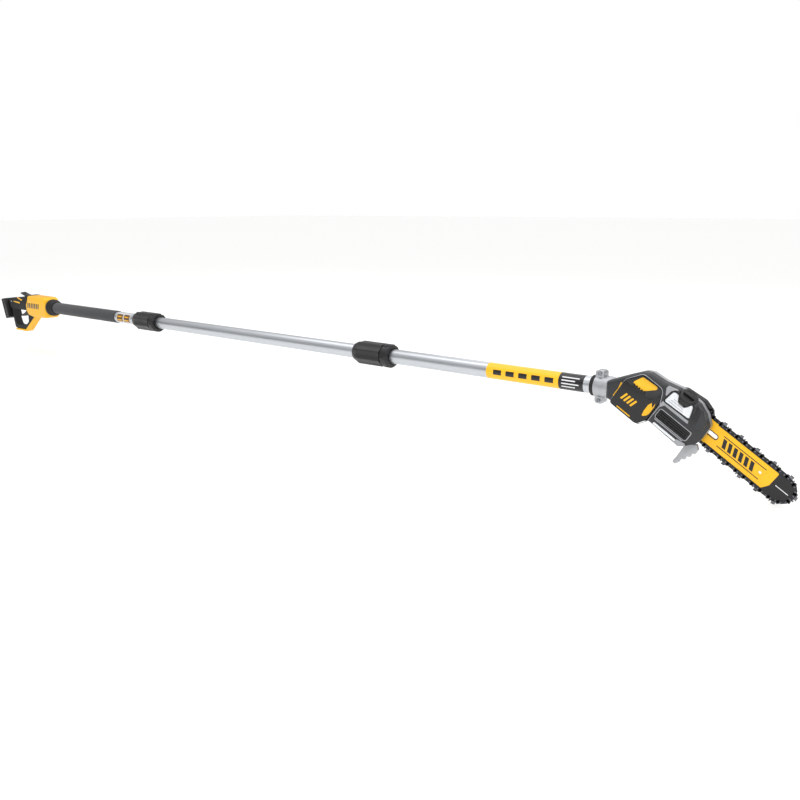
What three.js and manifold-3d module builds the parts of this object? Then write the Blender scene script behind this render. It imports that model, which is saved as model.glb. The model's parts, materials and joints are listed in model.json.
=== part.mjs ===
// Take-apart cordless pole saw: rear handle, three tubes joined by two threaded collars, and a saw head.
// Millimetres. +X runs along the pole towards the saw head, +Z is up.
// The origin is on the pole's axis at the middle of the foam grip.
import * as THREE from 'three';
import { ConvexGeometry } from 'three/addons/geometries/ConvexGeometry.js';
import { mergeVertices } from 'three/addons/utils/BufferGeometryUtils.js';
import Module from 'manifold-3d';

const wasm = await Module();
wasm.setup();

// ---- driving dimensions ----
const fitGap = 0.3; // between pieces that touch
const poleSides = 24; // flats round the pole and every bore that fits it
const runGap = 0.4; // round pieces that turn or slide

// pole
const tubeRadius = 19;
const tubeWall = 1.8;
const foamLength = 415;
const foamThickness = 2.4;
const gripToCollar = 118; // bare tube between the foam and the first collar
const extensionLength = 1017; // from joint face to joint face
const headTubeLength = 651; // from joint face to the end in the head's clamp
const clampDepth = 16; // tube held in the clamp

// couplings
const collarLength = 124;
const collarRearReach = 62; // from the joint face to the collar's rear end
const collarFlats = 8;
const socketWall = 3.7; // round the tube
const collarWall = 7.6; // round the socket
const lipGap = 0.6; // between the tube and the collar's end lips
const socketRear = 44;
const socketFront = 40;
const slipRingWidth = 6;

// rear handle
const ringLength = 37;
const ringWall = 12.2; // black ring round the tube
const housingHalfWidth = 29;
const guardHalfWidth = 15;
const gripHalfWidth = 18.5;
const dockHalfWidth = 29;
const shellWall = 2.6;
const handleTubeDepth = 62; // rear tube held in the housing
const triggerPivot = { x: -176, z: -15 };
const triggerHalfWidth = 6.5;
const triggerPinRadius = 2.5;
const leverPivot = { x: -166, z: 27 };
const leverHubRadius = 8.5;
const leverHalfWidth = 10;
const leverTrunnionRadius = 3;

// saw head
const barAngle = 32; // degrees below the pole's axis
const headReach = 145; // clamp face to the head's own origin, along the pole
const clampWidth = 21;
const clampWall = 5.2; // clamp ring round the tube
const clampEarHeight = 12.5;
const clampScrewRadius = 2.5;
const clampScrewOffset = 5; // from the ring's outside to the screw's axis
const neckWall = 1; // by which the neck's thin end is larger than the tube
const neckEnd = 62; // from the clamp face
const nearFace = -38; // head shell's outer face
const caseFace = -13.7; // gear case's open side
const caseBack = -0.3; // gear case's back, towards the bar
const caseFloor = 3;
const coverDepth = 23;
const coverWall = 2.5;
const motorFace = -48;
const motorWall = 2.5;

// cutting set
const barPlane = 5;
const barThickness = 4;
const barHalfWidth = 24.8;
const barTail = 70;
const barShoulder = 92;
const barNoseStart = 268;
const barTip = 310;
const chainHeight = 7.6;
const chainWidth = 6.4;
const chainGap = 0.5;
const cutterCount = 16;
const cutterLength = 12;
const cutterHeight = 3.4;
const sprocketPlace = 50;
const sprocketRadius = 13;
const sprocketTeeth = 6;
const sprocketShaftRadius = 5;
const studPlace = 100;
const studRadius = 4;
const barSlot = { from: 90, to: 138, halfWidth: 4.3 };
const nosePlace = 288;
const noseRadius = 11;
const tensionTravel = 6;

// gear train
const gearModule = 1.5;
const pinionTeeth = 10;
const idlerTeeth = 36;
const driveTeeth = 29;
const trainAngle = 204; // degrees, from the sprocket's centre to the motor's
const gearWidth = 6;
const statorRadius = 21;
const rotorRadius = 11;
const motorShaftRadius = 3;
const idlerAxleRadius = 4;
const slideGap = 0.05; // pieces that are pressed or slid on

// what fits round the pole
const socketRadius = tubeRadius + fitGap + socketWall;
const collarRadius = socketRadius + runGap + collarWall;
const ringRadius = tubeRadius + fitGap + ringWall;
const clampRadius = tubeRadius + fitGap + clampWall;
const clampEarReach = clampRadius + clampEarHeight;
const clampScrewHeight = clampRadius + clampScrewOffset;
const neckRadius = tubeRadius + neckWall;

// ---- materials ----
const finish = (color, roughness, metalness = 0) => new THREE.MeshStandardMaterial({ color, roughness, metalness });
const yellow = finish(0xf2b70f, 0.45);
const black = finish(0x1d1d1f, 0.6);
const rubber = finish(0x26272a, 0.85);
const foam = finish(0x3a3b3e, 0.95);
const darkGrey = finish(0x4c4d50, 0.5);
const tubeMetal = finish(0xc9ccd0, 0.35, 1);
const castMetal = finish(0xb9bcc0, 0.45, 1);
const steel = finish(0x8d9094, 0.35, 1);
const white = finish(0xe6e8ea, 0.4);
const copper = finish(0xb4693a, 0.4, 1);
const board = finish(0x1f5a38, 0.6);

// ---- solids ----
const box3 = (x0, x1, y0, y1, z0, z1) => {
  const geometry = new THREE.BoxGeometry(x1 - x0, y1 - y0, z1 - z0);
  return solid(geometry.translate((x0 + x1) / 2, (y0 + y1) / 2, (z0 + z1) / 2));
};

function solid(geometry) {
  const bare = geometry.clone();
  bare.deleteAttribute('normal');
  bare.deleteAttribute('uv');
  const merged = mergeVertices(bare, 1e-4);
  const index = merged.index.array;
  const kept = [];
  for (let i = 0; i < index.length; i += 3) {
    const [a, b, c] = [index[i], index[i + 1], index[i + 2]];
    if (a !== b && b !== c && c !== a) kept.push(a, b, c);
  }
  const vertProperties = Float32Array.from(merged.attributes.position.array);
  return new wasm.Manifold(new wasm.Mesh({ numProp: 3, vertProperties, triVerts: Uint32Array.from(kept) }));
}

function geometryOf(body) {
  const mesh = body.getMesh();
  const geometry = new THREE.BufferGeometry();
  geometry.setAttribute('position', new THREE.BufferAttribute(mesh.vertProperties, 3));
  geometry.setIndex(new THREE.BufferAttribute(mesh.triVerts, 1));
  geometry.computeVertexNormals();
  return geometry;
}

const join = (...bodies) => bodies.reduce((sum, body) => sum.add(body));
const cut = (body, ...tools) => tools.reduce((rest, tool) => rest.subtract(tool), body);

// corners are [x, z] or [x, z, radius]
function roundedShape(corners, defaultRadius = 0) {
  const shape = new THREE.Shape();
  corners.forEach(([x, z, own], i) => {
    const radius = own ?? defaultRadius;
    const here = new THREE.Vector2(x, z);
    const before = new THREE.Vector2(...corners.at(i - 1).slice(0, 2));
    const after = new THREE.Vector2(...corners[(i + 1) % corners.length].slice(0, 2));
    const reach = Math.min(radius, here.distanceTo(before) / 2.2, here.distanceTo(after) / 2.2);
    const start = before.sub(here).setLength(reach).add(here);
    const end = after.sub(here).setLength(reach).add(here);
    if (i === 0) shape.moveTo(start.x, start.y);
    else shape.lineTo(start.x, start.y);
    if (reach > 0) shape.quadraticCurveTo(here.x, here.y, end.x, end.y);
  });
  return shape;
}

// moves every side of a closed outline inwards (outwards when distance is negative)
function inset(corners, distance) {
  const sides = corners.map(([x, z], i) => {
    const [nx, nz] = corners[(i + 1) % corners.length];
    const length = Math.hypot(nx - x, nz - z);
    const normal = [-(nz - z) / length, (nx - x) / length];
    return { point: [x + normal[0] * distance, z + normal[1] * distance], along: [nx - x, nz - z] };
  });
  return corners.map((corner, i) => {
    const a = sides.at(i - 1);
    const b = sides[i];
    const cross = a.along[0] * b.along[1] - a.along[1] * b.along[0];
    const gap = [b.point[0] - a.point[0], b.point[1] - a.point[1]];
    const t = (gap[0] * b.along[1] - gap[1] * b.along[0]) / cross;
    return [a.point[0] + a.along[0] * t, a.point[1] + a.along[1] * t, ...corner.slice(2)];
  });
}

// the same outline drawn in by a bevel, with its round corners kept concentric
function drawnIn(corners, bevel, radius) {
  const turns = corners.map(([x, z], i) => {
    const [px, pz] = corners.at(i - 1);
    const [nx, nz] = corners[(i + 1) % corners.length];
    return (x - px) * (nz - z) - (z - pz) * (nx - x);
  });
  return inset(corners, bevel).map(([x, z, own], i) => {
    const given = own ?? radius;
    return [x, z, turns[i] > 0 ? Math.max(given - bevel, 0) : given + bevel];
  });
}

// an outline in XZ carried from y0 to y1
function plate(corners, y0, y1, { radius = 0, bevel = 0, segments = 2, steps = 1 } = {}) {
  const drawn = corners instanceof THREE.Shape ? corners : roundedShape(drawnIn(corners, bevel, radius));
  const geometry = new THREE.ExtrudeGeometry(drawn, {
    depth: y1 - y0 - 2 * bevel,
    bevelEnabled: bevel > 0,
    bevelThickness: bevel,
    bevelSize: bevel,
    bevelSegments: steps,
    curveSegments: segments,
  });
  return solid(geometry.rotateX(Math.PI / 2).translate(0, y1 - bevel, 0));
}

// an outline in YZ carried from x0 to x1
function slab(shape, x0, x1, segments = 4) {
  const geometry = new THREE.ExtrudeGeometry(shape, { depth: x1 - x0, bevelEnabled: false, curveSegments: segments });
  return solid(geometry.rotateX(Math.PI / 2).rotateZ(Math.PI / 2).translate(x0, 0, 0));
}

// profile of [radius, station] pairs, counter-clockwise, turned about X
function turned(profile, segments = 20) {
  const points = profile.map(([r, x]) => new THREE.Vector2(r, x));
  return solid(new THREE.LatheGeometry([...points, points[0]], segments).rotateZ(-Math.PI / 2));
}

const sleeve = (inner, outer, x0, x1, segments) =>
  turned([[inner, x0], [outer, x0], [outer, x1], [inner, x1]], segments);

// round bar along Y at (x, z)
function pin(x, z, radius, y0, y1, segments = 12) {
  const geometry = new THREE.CylinderGeometry(radius, radius, y1 - y0, segments);
  return solid(geometry.translate(x, (y0 + y1) / 2, z));
}

// round bar along X at (y, z)
function rod(y, z, radius, x0, x1, segments = 12) {
  const geometry = new THREE.CylinderGeometry(radius, radius, x1 - x0, segments);
  return solid(geometry.rotateZ(Math.PI / 2).translate((x0 + x1) / 2, y, z));
}

const everything = 4000;
const rightSide = box3(-everything, everything, -everything, -fitGap / 2, -everything, everything);
const leftSide = box3(-everything, everything, fitGap / 2, everything, -everything, everything);
const rightHalf = (body) => body.intersect(rightSide);
const leftHalf = (body) => body.intersect(leftSide);

function addPiece(group, name, body, material) {
  const mesh = new THREE.Mesh(geometryOf(body), material);
  mesh.name = name;
  group.add(mesh);
}

// ---- places along the pole ----
const foamStart = -foamLength / 2;
const foamEnd = foamLength / 2;
const handleFront = foamStart - fitGap - ringLength;
const jointOne = foamEnd + gripToCollar + collarRearReach;
const jointTwo = jointOne + extensionLength;
const headTubeEnd = jointTwo + headTubeLength;
const clampFace = headTubeEnd - clampDepth;

const poleSaw = new THREE.Group();
poleSaw.name = 'pole_saw';

// ---- rear handle ----
const handle = new THREE.Group();
handle.position.x = handleFront;
poleSaw.add(handle);

const housingOutline = [[0, -34], [0, 30], [-14, 38], [-157, 38], [-157, -22], [-142, -38], [-104, -45], [-12, -41]];
const guardOutline = [[-100, -36], [-128, -36], [-128, -47, 0], [-206, -103, 0], [-284, -103], [-288, -111], [-198, -111, 22]];
const gripOutline = [
  [-120, -47], [-158, -18], [-157, 32], [-172, 35], [-222, 27], [-318, 18], [-300, -66], [-291, -103, 8],
  [-206, -104],
];
const loopOpening = [
  [-171, -24, 6], [-283, -24, 8], [-284, -60, 10], [-272, -88, 12], [-202, -88, 12], [-172, -68, 10],
];
const dockOutline = [[-354, 12], [-330, -67], [-303, -59], [-326, 17]];
const topGripOutline = [[-157.6, -24], [-157.6, 32], [-172, 34], [-222, 27], [-316, 18], [-306, -24]];

function yellowShells() {
  const housing = plate(housingOutline, -housingHalfWidth, housingHalfWidth, { radius: 6, bevel: 5, steps: 2 });
  const guard = plate(guardOutline, -guardHalfWidth, guardHalfWidth, { radius: 3, bevel: 2.5 });
  const hollow = plate(inset(housingOutline, shellWall), -housingHalfWidth + shellWall, housingHalfWidth - shellWall, {
    radius: 5,
    bevel: 4,
  });
  const tubeWay = rod(0, 0, tubeRadius + fitGap, -handleTubeDepth - 3, 10, poleSides);
  const hub = box3(leverPivot.x - 11, leverPivot.x + leverHubRadius + runGap + 2, -leverHalfWidth - runGap,
    leverHalfWidth + runGap, leverPivot.z - leverHubRadius - 1, 60);
  return cut(join(housing, guard), hollow, tubeWay, hub);
}

function blackShells() {
  const loop = plate(gripOutline, -guardHalfWidth + 1, guardHalfWidth - 1, { radius: 3, bevel: 3 });
  const top = plate(topGripOutline, -gripHalfWidth, gripHalfWidth, { radius: 5, bevel: 6, steps: 2 });
  const wall = shellWall + 1;
  const hollow = plate(inset(topGripOutline, wall), -gripHalfWidth + wall, gripHalfWidth - wall, { bevel: 2 });
  const opening = plate(loopOpening, -everything / 40, everything / 40);
  const slot = box3(-214, -160, -triggerHalfWidth - 1.2, triggerHalfWidth + 1.2, -32, -14);
  const hub = pin(leverPivot.x, leverPivot.z, leverHubRadius + runGap, -leverHalfWidth - runGap,
    leverHalfWidth + runGap, 24);
  const hubTop = box3(leverPivot.x - 40, leverPivot.x + 20, -leverHalfWidth - runGap,
    leverHalfWidth + runGap, leverPivot.z, 60);
  const trunnions = pin(leverPivot.x, leverPivot.z, leverTrunnionRadius + runGap, -14, 14);
  const dock = plate(inset(dockOutline, -fitGap), -dockHalfWidth - 1, dockHalfWidth + 1);
  const guard = plate(inset(guardOutline, -fitGap), -guardHalfWidth - 1, guardHalfWidth + 1);
  const housing = plate(inset(housingOutline, -fitGap), -housingHalfWidth - 1, housingHalfWidth + 1);
  return cut(join(loop, top), hollow, opening, slot, hub, hubTop, trunnions, dock, guard, housing);
}

function batteryDock() {
  const block = plate(dockOutline, -dockHalfWidth, dockHalfWidth, { bevel: 1.5 });
  const lean = Math.atan2(dockOutline[1][0] - dockOutline[0][0], dockOutline[0][1] - dockOutline[1][1]);
  const length = 60;
  const groove = (side) => {
    const bar = box3(5, 10, side * dockHalfWidth - 5, side * dockHalfWidth + 5, -length, length * 2);
    return bar.rotate([0, (-lean * 180) / Math.PI, 0]).translate([dockOutline[1][0], 0, dockOutline[1][1]]);
  };
  const recess = box3(-6, 12, -15, 15, 18, 66).rotate([0, (-lean * 180) / Math.PI, 0])
    .translate([dockOutline[1][0], 0, dockOutline[1][1]]);
  return cut(block, groove(1), groove(-1), recess);
}

function terminalBlock() {
  const lean = Math.atan2(dockOutline[1][0] - dockOutline[0][0], dockOutline[0][1] - dockOutline[1][1]);
  const base = box3(7, 12 - fitGap, -15 + fitGap, 15 - fitGap, 18 + fitGap, 66 - fitGap);
  const blades = [-9, -3, 3, 9].map((y) => box3(-2, 7.5, y - 0.6, y + 0.6, 26, 46));
  return join(base, ...blades).rotate([0, (-lean * 180) / Math.PI, 0])
    .translate([dockOutline[1][0], 0, dockOutline[1][1]]);
}

function trigger() {
  const outline = [
    [-168, -12, 4], [-184, -10, 4], [-190, -20, 6], [-214, -36, 14], [-240, -46, 3], [-238, -52, 3],
    [-210, -49, 12], [-182, -38, 10], [-168, -22, 6],
  ];
  const blade = plate(outline, -triggerHalfWidth, triggerHalfWidth, { bevel: 1.5 });
  return cut(blade, pin(triggerPivot.x, triggerPivot.z, triggerPinRadius + runGap, -20, 20));
}

function lockOffLever() {
  const arm = plate([[-166, 30], [-168, 36, 5], [-218, 46, 3], [-226, 42, 2], [-216, 38, 4], [-176, 29, 3]],
    -leverHalfWidth, leverHalfWidth, { bevel: 1.5 });
  const hub = pin(leverPivot.x, leverPivot.z, leverHubRadius, -leverHalfWidth, leverHalfWidth, 24);
  const trunnions = pin(leverPivot.x, leverPivot.z, leverTrunnionRadius, -13.5, 13.5);
  return join(hub, arm, trunnions);
}

function poleSocketRing() {
  const bore = tubeRadius + fitGap;
  return turned([
    [bore, fitGap], [ringRadius - 3, fitGap], [ringRadius, 4], [ringRadius, 15], [ringRadius - 3, 18],
    [ringRadius - 3, 25], [ringRadius - 5, 28], [ringRadius - 5, ringLength - 4],
    [ringRadius - 7, ringLength], [bore, ringLength],
  ], poleSides);
}

const yellowBody = yellowShells();
addPiece(handle, 'housing_shell_right', rightHalf(yellowBody), yellow);
addPiece(handle, 'housing_shell_left', leftHalf(yellowBody), yellow);
const blackBody = blackShells();
addPiece(handle, 'grip_shell_right', rightHalf(blackBody), black);
addPiece(handle, 'grip_shell_left', leftHalf(blackBody), black);
addPiece(handle, 'battery_dock', batteryDock(), black);
addPiece(handle, 'terminal_block', terminalBlock(), steel);
addPiece(handle, 'trigger', trigger(), black);
addPiece(handle, 'trigger_pin', pin(triggerPivot.x, triggerPivot.z, triggerPinRadius, -14, 14), steel);
const springBore = triggerPinRadius + runGap;
addPiece(handle, 'trigger_spring',
  cut(pin(triggerPivot.x, triggerPivot.z, springBore + 1.5, 7, 12), pin(triggerPivot.x, triggerPivot.z, springBore, 6, 13)),
  steel);
addPiece(handle, 'trigger_switch', box3(-238, -206, -9, 9, -13, 6), black);
addPiece(handle, 'lock_off_lever', lockOffLever(), black);
addPiece(handle, 'pole_socket_ring', poleSocketRing(), rubber);

// ---- pole ----
const boreRadius = tubeRadius - tubeWall;
const tube = (x0, x1) => sleeve(boreRadius, tubeRadius, x0, x1, poleSides);

addPiece(poleSaw, 'rear_tube', tube(handleFront - handleTubeDepth, jointOne - fitGap / 2), tubeMetal);
const foamOuter = tubeRadius + foamThickness;
addPiece(poleSaw, 'foam_grip', turned([
  [tubeRadius + fitGap, foamStart], [foamOuter - 1, foamStart], [foamOuter, foamStart + 4],
  [foamOuter, foamEnd - 4], [foamOuter - 1, foamEnd], [tubeRadius + fitGap, foamEnd],
], poleSides), foam);
addPiece(poleSaw, 'extension_tube', tube(jointOne + fitGap / 2, jointTwo - fitGap / 2), tubeMetal);
addPiece(poleSaw, 'head_tube', tube(jointTwo + fitGap / 2, headTubeEnd), tubeMetal);

// eight long flats with a tapered tail, then a groove and a notched ring at the front
function collar() {
  const rear = -collarRearReach;
  const front = rear + collarLength;
  const grooveAt = front - 26;
  const corners = Array.from({ length: collarFlats }, (_, i) => {
    const angle = ((i + 0.5) * 2 * Math.PI) / collarFlats;
    return [collarRadius * 1.03 * Math.cos(angle), collarRadius * 1.03 * Math.sin(angle)];
  });
  const flats = slab(roundedShape(corners, 6), rear, grooveAt);
  const envelope = turned([
    [0, rear], [collarRadius - 7, rear], [collarRadius + 1, rear + 16], [collarRadius + 1, grooveAt - 3],
    [collarRadius - 1.5, grooveAt], [0, grooveAt],
  ]);
  const frontRing = turned([
    [0, grooveAt - 1], [collarRadius - 3, grooveAt - 1], [collarRadius - 3, grooveAt + 4],
    [collarRadius, grooveAt + 5], [collarRadius, front - 5], [collarRadius - 3, front], [0, front],
  ]);
  const notches = Array.from({ length: 6 }, (_, i) =>
    box3(grooveAt + 9, front + 1, -4, 4, collarRadius - 2, collarRadius + 5).rotate([i * 60, 0, 0]));
  const outside = cut(join(flats.intersect(envelope), frontRing), ...notches);
  const lip = tubeRadius + lipGap;
  const bore = socketRadius + runGap;
  const inside = turned([
    [0, rear - 1], [lip, rear - 1], [lip, rear + 5], [bore, rear + 5], [bore, front - 14], [lip, front - 5],
    [lip, front + 1], [0, front + 1],
  ]);
  return cut(outside, inside);
}

// the socket is fixed to the tube behind the joint; the tube in front slides into it
function socket() {
  const bore = tubeRadius + fitGap;
  return turned([
    [bore, -socketRear], [socketRadius, -socketRear], [socketRadius, socketFront - 3],
    [socketRadius - 1.5, socketFront], [bore, socketFront],
  ]);
}

const plugRadius = boreRadius - fitGap;
const contactRadius = 6;
const contactLength = 14;
const receptacle = () => cut(sleeve(3.6, plugRadius, -30, -2, 20), rod(0, 0, contactRadius + runGap, -2 - contactLength - 1, 0, 20));
const plug = () => join(sleeve(3.6, plugRadius, 2, 28, 20), sleeve(3.6, contactRadius, 1 - contactLength, 3, 20));

[jointOne, jointTwo].forEach((place, i) => {
  const number = i + 1;
  const coupling = new THREE.Group();
  coupling.position.x = place;
  poleSaw.add(coupling);
  addPiece(coupling, `coupler_${number}_socket`, socket(), black);
  const ringAt = -socketRear - fitGap;
  addPiece(coupling, `coupler_${number}_slip_ring`,
    sleeve(tubeRadius + runGap, socketRadius - fitGap, ringAt - slipRingWidth, ringAt), steel);
  addPiece(coupling, `coupler_${number}_collar`, collar(), black);
  addPiece(coupling, `receptacle_${number}`, receptacle(), black);
  addPiece(coupling, `plug_${number}`, plug(), black);
});

// two-core leads, straight down the middle of each tube
const leadRadius = 3.2;
const lead = (x0, x1) => rod(0, 0, leadRadius, x0, x1, 8);
addPiece(poleSaw, 'rear_lead', lead(handleFront - handleTubeDepth - 8, jointOne - 17), rubber);
addPiece(poleSaw, 'extension_lead', lead(jointOne + 5, jointTwo - 17), rubber);
addPiece(poleSaw, 'head_lead', lead(jointTwo + 5, headTubeEnd - 1), rubber);

// ---- saw head ----
// its own frame: x along the bar, z across the bar, with the pole's axis climbing through it
const head = new THREE.Group();
head.position.x = clampFace + headReach;
head.rotation.y = (barAngle * Math.PI) / 180;
poleSaw.add(head);

// carries a solid from the clamp's frame, along the pole, into the head's frame
const fromPole = (body) => body.translate([-headReach, 0, 0]).rotate([0, -barAngle, 0]);

const headOutline = [
  [-84, -71, 4], [-103, -40, 4], [-89, -21.5, 6], [-72, 1, 6], [-51, 27, 8], [-38, 33.5, 8], [-7, 36, 10],
  [25, 44.5, 8], [75, 44.5, 10], [97, 35, 8], [117, 18, 6], [118.5, -11, 6], [116.5, -28, 6], [94, -52, 6],
  [17, -50, 6], [-3, -67, 5], [-58, -67, 6],
].reverse();
const motorOutline = [
  [-69, -66.5, 5], [2, -66.5, 5], [14, -48, 5], [14, -5, 8], [2, 24, 8], [-46, 24, 8], [-69, -8, 6],
];
// its face falls away towards the top and towards the bar: [distance along, height] where each slope starts and ends
const crownSlope = { from: -6, to: 24, drop: 15 };
const frontSlope = { from: -3, to: 14, drop: 12 };
const tankOutline = [[17, 8, 4], [79, 10, 4], [70, 37, 6], [22, 37, 6]];
const grilleOutline = [[23, -30, 3], [98, -30, 3], [98, -10, 3], [23, -10, 3]];
const windowOutline = [[27, -46, 1.5], [83, -46, 1.5], [83, -41, 1.5], [27, -41, 1.5]];
const sprocketAt = { x: sprocketPlace, z: 0 };
const pitchRadius = (teeth) => (gearModule * teeth) / 2;
const trainStep = (distance) => ({
  x: sprocketAt.x + distance * Math.cos((trainAngle * Math.PI) / 180),
  z: sprocketAt.z + distance * Math.sin((trainAngle * Math.PI) / 180),
});
const idlerAt = trainStep(pitchRadius(driveTeeth) + pitchRadius(idlerTeeth));
const motorAt = trainStep(pitchRadius(driveTeeth) + 2 * pitchRadius(idlerTeeth) + pitchRadius(pinionTeeth));

// the neck tapers from the clamp ring towards the bar
const neckSolid = (gap) => fromPole(turned([
  [0, clampWidth + fitGap - gap], [clampRadius + gap, clampWidth + fitGap - gap], [clampRadius + gap, clampWidth + 12],
  [neckRadius + gap, neckEnd + gap], [0, neckEnd + gap],
]));

function gearCase() {
  const outer = plate(headOutline, caseFace, caseBack, { bevel: 1 });
  const pocket = plate(inset(headOutline, 4), caseFace - 1, caseBack - caseFloor);
  const neck = neckSolid(0);
  const yoke = fromPole(clampBlock().intersect(box3(-5, clampWidth + 1, fitGap / 2, 40, -60, 60)));
  const web = fromPole(rod(0, 0, clampRadius, clampWidth - 1, clampWidth + 2, poleSides)
    .intersect(box3(0, 60, fitGap / 2, 60, -60, 60)));
  const tubeWay = fromPole(rod(0, 0, tubeRadius + fitGap, -10, clampDepth + fitGap, poleSides));
  const leadWay = fromPole(rod(0, 0, 9, 10, 90, 12));
  const nearSide = box3(-everything, everything, caseFace - 60, caseFace, -everything, everything)
    .intersect(plate(inset(headOutline, -fitGap), -everything, everything));
  const driveWay = pin(sprocketAt.x, sprocketAt.z, sprocketShaftRadius + 6, -8, 8, 24);
  const boss = pin(sprocketAt.x, sprocketAt.z, 11.5, caseBack - caseFloor - 1, caseBack, 24);
  const shaftWay = pin(sprocketAt.x, sprocketAt.z, sprocketShaftRadius + runGap, -20, 10);
  const studWay = pin(studPlace, 0, studRadius + fitGap, -20, 10);
  const tension = box3(78, 125, -9.5, 5, -17.5, -10.5);
  const tensionWall = box3(74, 119, caseFace + 1, caseBack, -20, -8);
  const capWay = oilCapTool(capRadius + 0.6, -4, 30);
  const body = cut(join(outer, neck, yoke, web), nearSide, pocket, leadWay, tubeWay, capWay);
  return cut(join(cut(body, driveWay), boss, tensionWall), shaftWay, studWay, tension);
}

// both halves of the clamp ring with their ears, before it is split
function clampBlock() {
  const ring = sleeve(tubeRadius + fitGap, clampRadius, 0, clampWidth, poleSides);
  const ears = box3(0, clampWidth, -12, 12, -clampEarReach, clampEarReach);
  const bore = rod(0, 0, tubeRadius + fitGap, -1, clampWidth + 1, poleSides);
  const screws = [1, -1].map((side) => pin(clampWidth / 2, side * clampScrewHeight, clampScrewRadius + fitGap, -20, 20));
  return cut(join(ring, cut(ears, bore)), ...screws);
}

const clampCap = () => clampBlock().intersect(box3(0, clampWidth, -40, -fitGap / 2, -60, 60));

function clampScrew(side) {
  const z = side * clampScrewHeight;
  const shank = pin(clampWidth / 2, z, clampScrewRadius, -13, 11);
  const headOfScrew = pin(clampWidth / 2, z, 4.3, -16, -12 - fitGap);
  const socketHole = pin(clampWidth / 2, z, 2, -17, -14, 6);
  return fromPole(cut(join(shank, headOfScrew), socketHole));
}

function headShell() {
  const wall = shellWall;
  const outer = plate(headOutline, nearFace, caseFace - fitGap, { bevel: 6, steps: 2 });
  const hollow = plate(inset(headOutline, wall), nearFace + wall, 0, { bevel: 4 });
  const motorWay = plate(inset(motorOutline, -2 * fitGap), -80, 0);
  const tankWay = plate(inset(tankOutline, -fitGap), -80, 20);
  const grilleWay = plate(inset(grilleOutline, -fitGap), -80, nearFace + 10);
  const windowWay = plate(inset(windowOutline, -fitGap), -80, nearFace + 10);
  const capWay = oilCapTool(capRadius + 0.6, -4, 30);
  const clampWay = fromPole(rod(0, 0, clampRadius + fitGap, -10, clampWidth + 1, poleSides));
  const leadWay = fromPole(rod(0, 0, 9, 10, 90, 12));
  const bumperWay = plate(inset(bumperOutline, -2 * fitGap), -80, nearFace + 8);
  return cut(outer, hollow, motorWay, tankWay, grilleWay, windowWay, capWay, clampWay, neckSolid(fitGap), leadWay,
    bumperWay);
}

const bumperOutline = [[76, 44], [84, 8], [112, 8], [110, 24], [92, 42]];

// a blunt ridge that leans back towards its top
function frontBumper() {
  const [topBack, bottomBack, bottomFront, front, topFront] = bumperOutline;
  const seat = nearFace + 8 - fitGap;
  const corner = ([x, z], y) => new THREE.Vector3(x, y, z);
  const points = bumperOutline.map((place) => corner(place, seat));
  points.push(corner(topBack, nearFace + 2), corner(bottomBack, nearFace - 3), corner([98, 8], nearFace - 9));
  points.push(corner([90, 42], nearFace - 1), corner(bottomFront, nearFace), corner(front, nearFace));
  points.push(corner(topFront, nearFace + 2));
  return solid(new ConvexGeometry(points));
}

// what lies above the two slopes of the motor cover, with the slopes moved in by a wall
function aboveSlopes(wall) {
  const face = motorFace + wall;
  const crown = Math.atan2(crownSlope.drop, crownSlope.to - crownSlope.from);
  const front = Math.atan2(frontSlope.drop, frontSlope.to - frontSlope.from);
  const top = box3(-everything, everything, -everything, 0, 0, everything)
    .rotate([(-crown * 180) / Math.PI, 0, 0]).translate([0, face, crownSlope.from]);
  const end = box3(0, everything, -everything, 0, -everything, everything)
    .rotate([0, 0, (front * 180) / Math.PI]).translate([frontSlope.from, face, 0]);
  return join(top, end);
}

function motorCover() {
  const outer = cut(plate(motorOutline, motorFace, caseFace - fitGap, { bevel: 3 }), aboveSlopes(0));
  const hollow = cut(plate(inset(motorOutline, motorWall), motorFace + motorWall, 0), aboveSlopes(motorWall));
  const slots = [0, 1, 2, 3, 4].map((i) => box3(-54 + i * 9, -50 + i * 9, motorFace - 1, motorFace + 5, -20, -14));
  return cut(outer, hollow, neckSolid(fitGap), fromPole(rod(0, 0, 9, 10, 90, 12)), ...slots);
}

function oilTank() {
  const outer = plate(tankOutline, nearFace - 1, caseFace - 2, { bevel: 2 });
  const hollow = plate(inset(tankOutline, 2), nearFace + 1, caseFace - 4);
  const mouth = oilCapTool(9, -30, 40);
  const capWay = oilCapTool(capRadius + 0.6, -4, 30);
  return cut(outer, capWay, hollow, mouth);
}

// the filler's axis leans towards the near side
const capLean = 28;
const capRadius = 19;
const capPlace = { x: 50, y: -24, z: 34 };
const onCap = (body) => body.rotate([0, -90, 0]).rotate([capLean, 0, 0]).translate([capPlace.x, capPlace.y, capPlace.z]);
const oilCapTool = (radius, low, high) => onCap(rod(0, 0, radius, low, high, poleSides));

function oilCap() {
  const skirt = turned([[0, 0], [capRadius - 1, 0], [capRadius, 2], [capRadius, 11], [capRadius - 2.5, 14], [0, 14]], 24);
  const ribs = Array.from({ length: 12 }, (_, i) =>
    box3(2, 12, -1, 1, capRadius - 1.4, capRadius + 2).rotate([(i * 360) / 12, 0, 0]));
  const thumb = box3(12, 18, -13, 13, -3, 3);
  const stem = rod(0, 0, 8.4, -12, 1, 20);
  return onCap(join(cut(skirt, ...ribs), thumb, stem));
}

const oilCapGasket = () => onCap(sleeve(9.6, 14, -2.6, -0.4, 24));

function grillePanel() {
  const frame = plate(grilleOutline, nearFace + 1, nearFace + 5, { bevel: 0 });
  const ribs = [-14, -20, -26].map((z) => box3(27, 94, nearFace - 1, nearFace + 2.5, z - 1, z + 1));
  return join(frame, ...ribs);
}

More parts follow.
